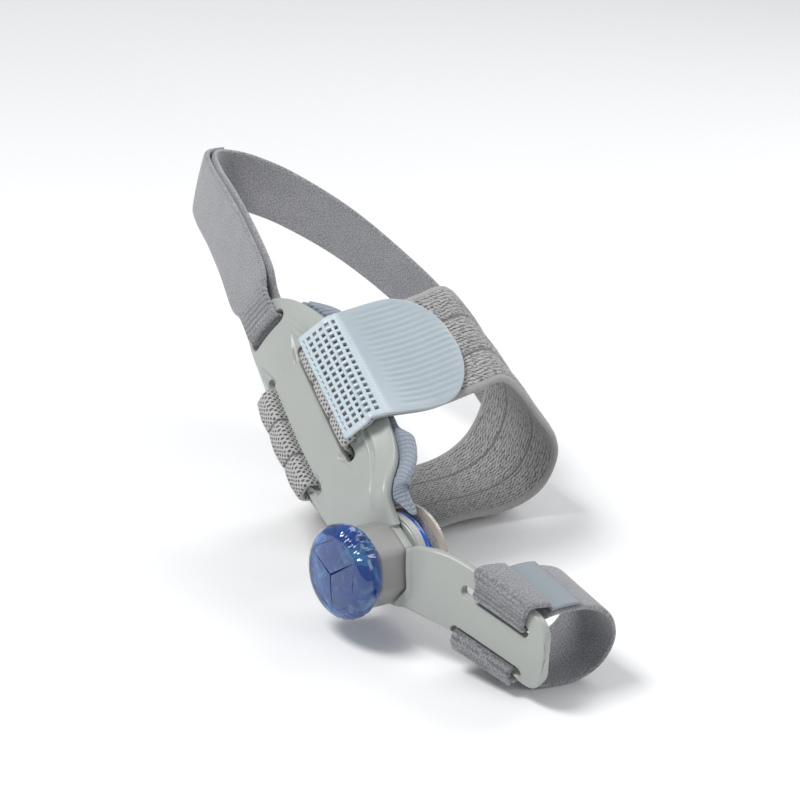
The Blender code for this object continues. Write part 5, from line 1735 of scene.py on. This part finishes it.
class BraceColours(bpy.types.PropertyGroup):
    """The colours of the brace's plastics and cloths."""

    plastic: colour_property("Plate and arm", "#A8ACA8", "Satin plastic of plate, arm and flange")
    housing: colour_property("Housing", "#939391", "Satin plastic of the knob's housing")
    blue: colour_property("Knob", "#3379D8", "Clear blue plastic where it is thick")
    # Painted light: the bright patches on the knob, placed by noise.
    blue_painted_light: colour_property("Knob, bright", "#7AD6FF", "Clear blue plastic where light runs out of it")
    # Painted shade: the darker plastic in the knob's grooves.
    groove: colour_property("Grooves", "#0B2A66", "Clear blue plastic in the knob's grooves")
    # Painted shade, with paler patches of painted light placed by noise.
    groove_bright: colour_property("Grooves, bright", "#123C88", "The same where light runs out of it")
    # Painted shade: the darker plastic of the core.
    core: colour_property("Core", "#18489C", "Clear blue plastic of the core inside the knob")
    # Painted highlight: light caught on the core's facets, placed by noise.
    core_painted_highlight: colour_property("Core, bright", "#37A8EA", "The same where light runs out of it")
    ring: colour_property("Ring", "#1558C4", "Glossy blue ring behind the flange")
    gel: colour_property("Gel", "#EEE7DF", "Soft gel against the skin")
    tab: colour_property("Hook tab", "#B0BCC3", "Ribbed panel of the hook tab")
    tab_bars: colour_property("Hook tab, bars", "#CBD8DF", "Bars of the hook tab's grid")
    pad: colour_property("Pad", "#959DA9", "Twill facing of the pads, on its ribs")
    # Painted shade between the twill's ribs.
    pad_valley_shade: colour_property("Pad, dark", "#7B8591", "Twill facing of the pads, between its ribs")
    webbing: colour_property("Elastic", "#B4B3B2", "Elastic of the midfoot strap, on its yarns")
    # Painted shade in the holes, the rib valleys and the seams, and the dark stitches.
    webbing_shade_and_stitches: colour_property("Elastic, dark", "#3C3B3B", "Elastic of the midfoot strap, in its holes")
    brushed: colour_property("Brushed cloth", "#A3A3A8", "Heel and toe straps, on the nap")
    # Painted shade in the crease hollows, and the darker tufts of the nap.
    brushed_shade_and_nap: colour_property("Brushed cloth, dark", "#5C5D62", "Heel and toe straps, in their creases")
    panel: colour_property("Toe panel", "#868E95", "Smooth panel under the toe strap's end")
    steel: colour_property("Pin", "#C4C4C6", "Steel of the toe arm's pin")


class BraceLooks(bpy.types.PropertyGroup):
    """The stage's sizes and lights."""

    floor_width: bpy.props.FloatProperty(
        name="Floor width", description="Side of the square floor", default=12.0, min=1.0, unit="LENGTH",
    )
    surround: bpy.props.FloatProperty(
        name="Surroundings", description="Brightness of the pale surroundings", default=0.42, min=0.0,
    )
    key_power: bpy.props.FloatProperty(
        name="Key light", description="Power of the main soft light", default=6.0, min=0.0, unit="POWER",
    )


class BRACE_OT_plate(bpy.types.Operator):
    """Build the shell along the foot"""

    bl_idname = "brace.plate"
    bl_label = "Foot plate"

    def execute(self, context):
        build_plate()
        return {"FINISHED"}


class BRACE_OT_hub(bpy.types.Operator):
    """Build the housing, the flange and the soft discs behind them"""

    bl_idname = "brace.hub"
    bl_label = "Hub and its discs"

    def execute(self, context):
        build_housing()
        build_flange()
        build_discs()
        return {"FINISHED"}


class BRACE_OT_knob(bpy.types.Operator):
    """Build the clear blue knob and its core"""

    bl_idname = "brace.knob"
    bl_label = "Knob"

    def execute(self, context):
        build_knob()
        return {"FINISHED"}


class BRACE_OT_arm(bpy.types.Operator):
    """Build the toe arm and finish its pin"""

    bl_idname = "brace.arm"
    bl_label = "Toe arm"

    def execute(self, context):
        build_arm()
        return {"FINISHED"}


class BRACE_OT_padding(bpy.types.Operator):
    """Build the foam pad behind the plate"""

    bl_idname = "brace.padding"
    bl_label = "Plate pad"

    def execute(self, context):
        build_padding()
        return {"FINISHED"}


class BRACE_OT_midfoot_strap(bpy.types.Operator):
    """Build the elastic strap round the middle of the foot"""

    bl_idname = "brace.midfoot_strap"
    bl_label = "Midfoot strap"

    def execute(self, context):
        build_midfoot_strap()
        return {"FINISHED"}


class BRACE_OT_strap_tab(bpy.types.Operator):
    """Build the pierced and ribbed hook tab"""

    bl_idname = "brace.strap_tab"
    bl_label = "Hook tab"

    def execute(self, context):
        build_strap_tab()
        return {"FINISHED"}


class BRACE_OT_heel_strap(bpy.types.Operator):
    """Build the brushed strap round the back of the ankle"""

    bl_idname = "brace.heel_strap"
    bl_label = "Heel strap"

    def execute(self, context):
        build_heel_strap()
        return {"FINISHED"}


class BRACE_OT_toe_strap(bpy.types.Operator):
    """Build the band round the big toe and its smooth panel"""

    bl_idname = "brace.toe_strap"
    bl_label = "Toe strap"

    def execute(self, context):
        build_toe_strap()
        return {"FINISHED"}


class BRACE_OT_stage(bpy.types.Operator):
    """Build the floor, the lights and the camera"""

    bl_idname = "brace.stage"
    bl_label = "Stage"

    def execute(self, context):
        build_stage()
        return {"FINISHED"}


OPERATORS = (
    BRACE_OT_stage,
    BRACE_OT_plate,
    BRACE_OT_hub,
    BRACE_OT_knob,
    BRACE_OT_arm,
    BRACE_OT_padding,
    BRACE_OT_midfoot_strap,
    BRACE_OT_strap_tab,
    BRACE_OT_heel_strap,
    BRACE_OT_toe_strap,
)


class BRACE_PT_panel(bpy.types.Panel):
    """Lists the pieces of the brace and the values that a user can change"""

    bl_idname = "BRACE_PT_panel"
    bl_label = "Bunion corrector"
    bl_space_type = "VIEW_3D"
    bl_region_type = "UI"
    bl_category = "Brace"

    def draw(self, context):
        scene = context.scene
        for group in (scene.brace_sizes, scene.brace_colours, scene.brace_looks):
            for name in group.bl_rna.properties.keys():
                if name not in ("rna_type", "name"):
                    self.layout.prop(group, name)
        for operator in OPERATORS:
            self.layout.operator(operator.bl_idname)


CLASSES = (BraceSizes, BraceColours, BraceLooks, *OPERATORS, BRACE_PT_panel)


def register():
    for kind in CLASSES:
        bpy.utils.register_class(kind)
    bpy.types.Scene.brace_sizes = bpy.props.PointerProperty(type=BraceSizes)
    bpy.types.Scene.brace_colours = bpy.props.PointerProperty(type=BraceColours)
    bpy.types.Scene.brace_looks = bpy.props.PointerProperty(type=BraceLooks)


def unregister():
    del bpy.types.Scene.brace_looks
    del bpy.types.Scene.brace_colours
    del bpy.types.Scene.brace_sizes
    for kind in reversed(CLASSES):
        bpy.utils.unregister_class(kind)


def main():
    """Builds every piece in turn."""
    register()
    for operator in OPERATORS:
        group, name = operator.bl_idname.split(".")
        getattr(getattr(bpy.ops, group), name)()


if __name__ == "__main__":
    main()
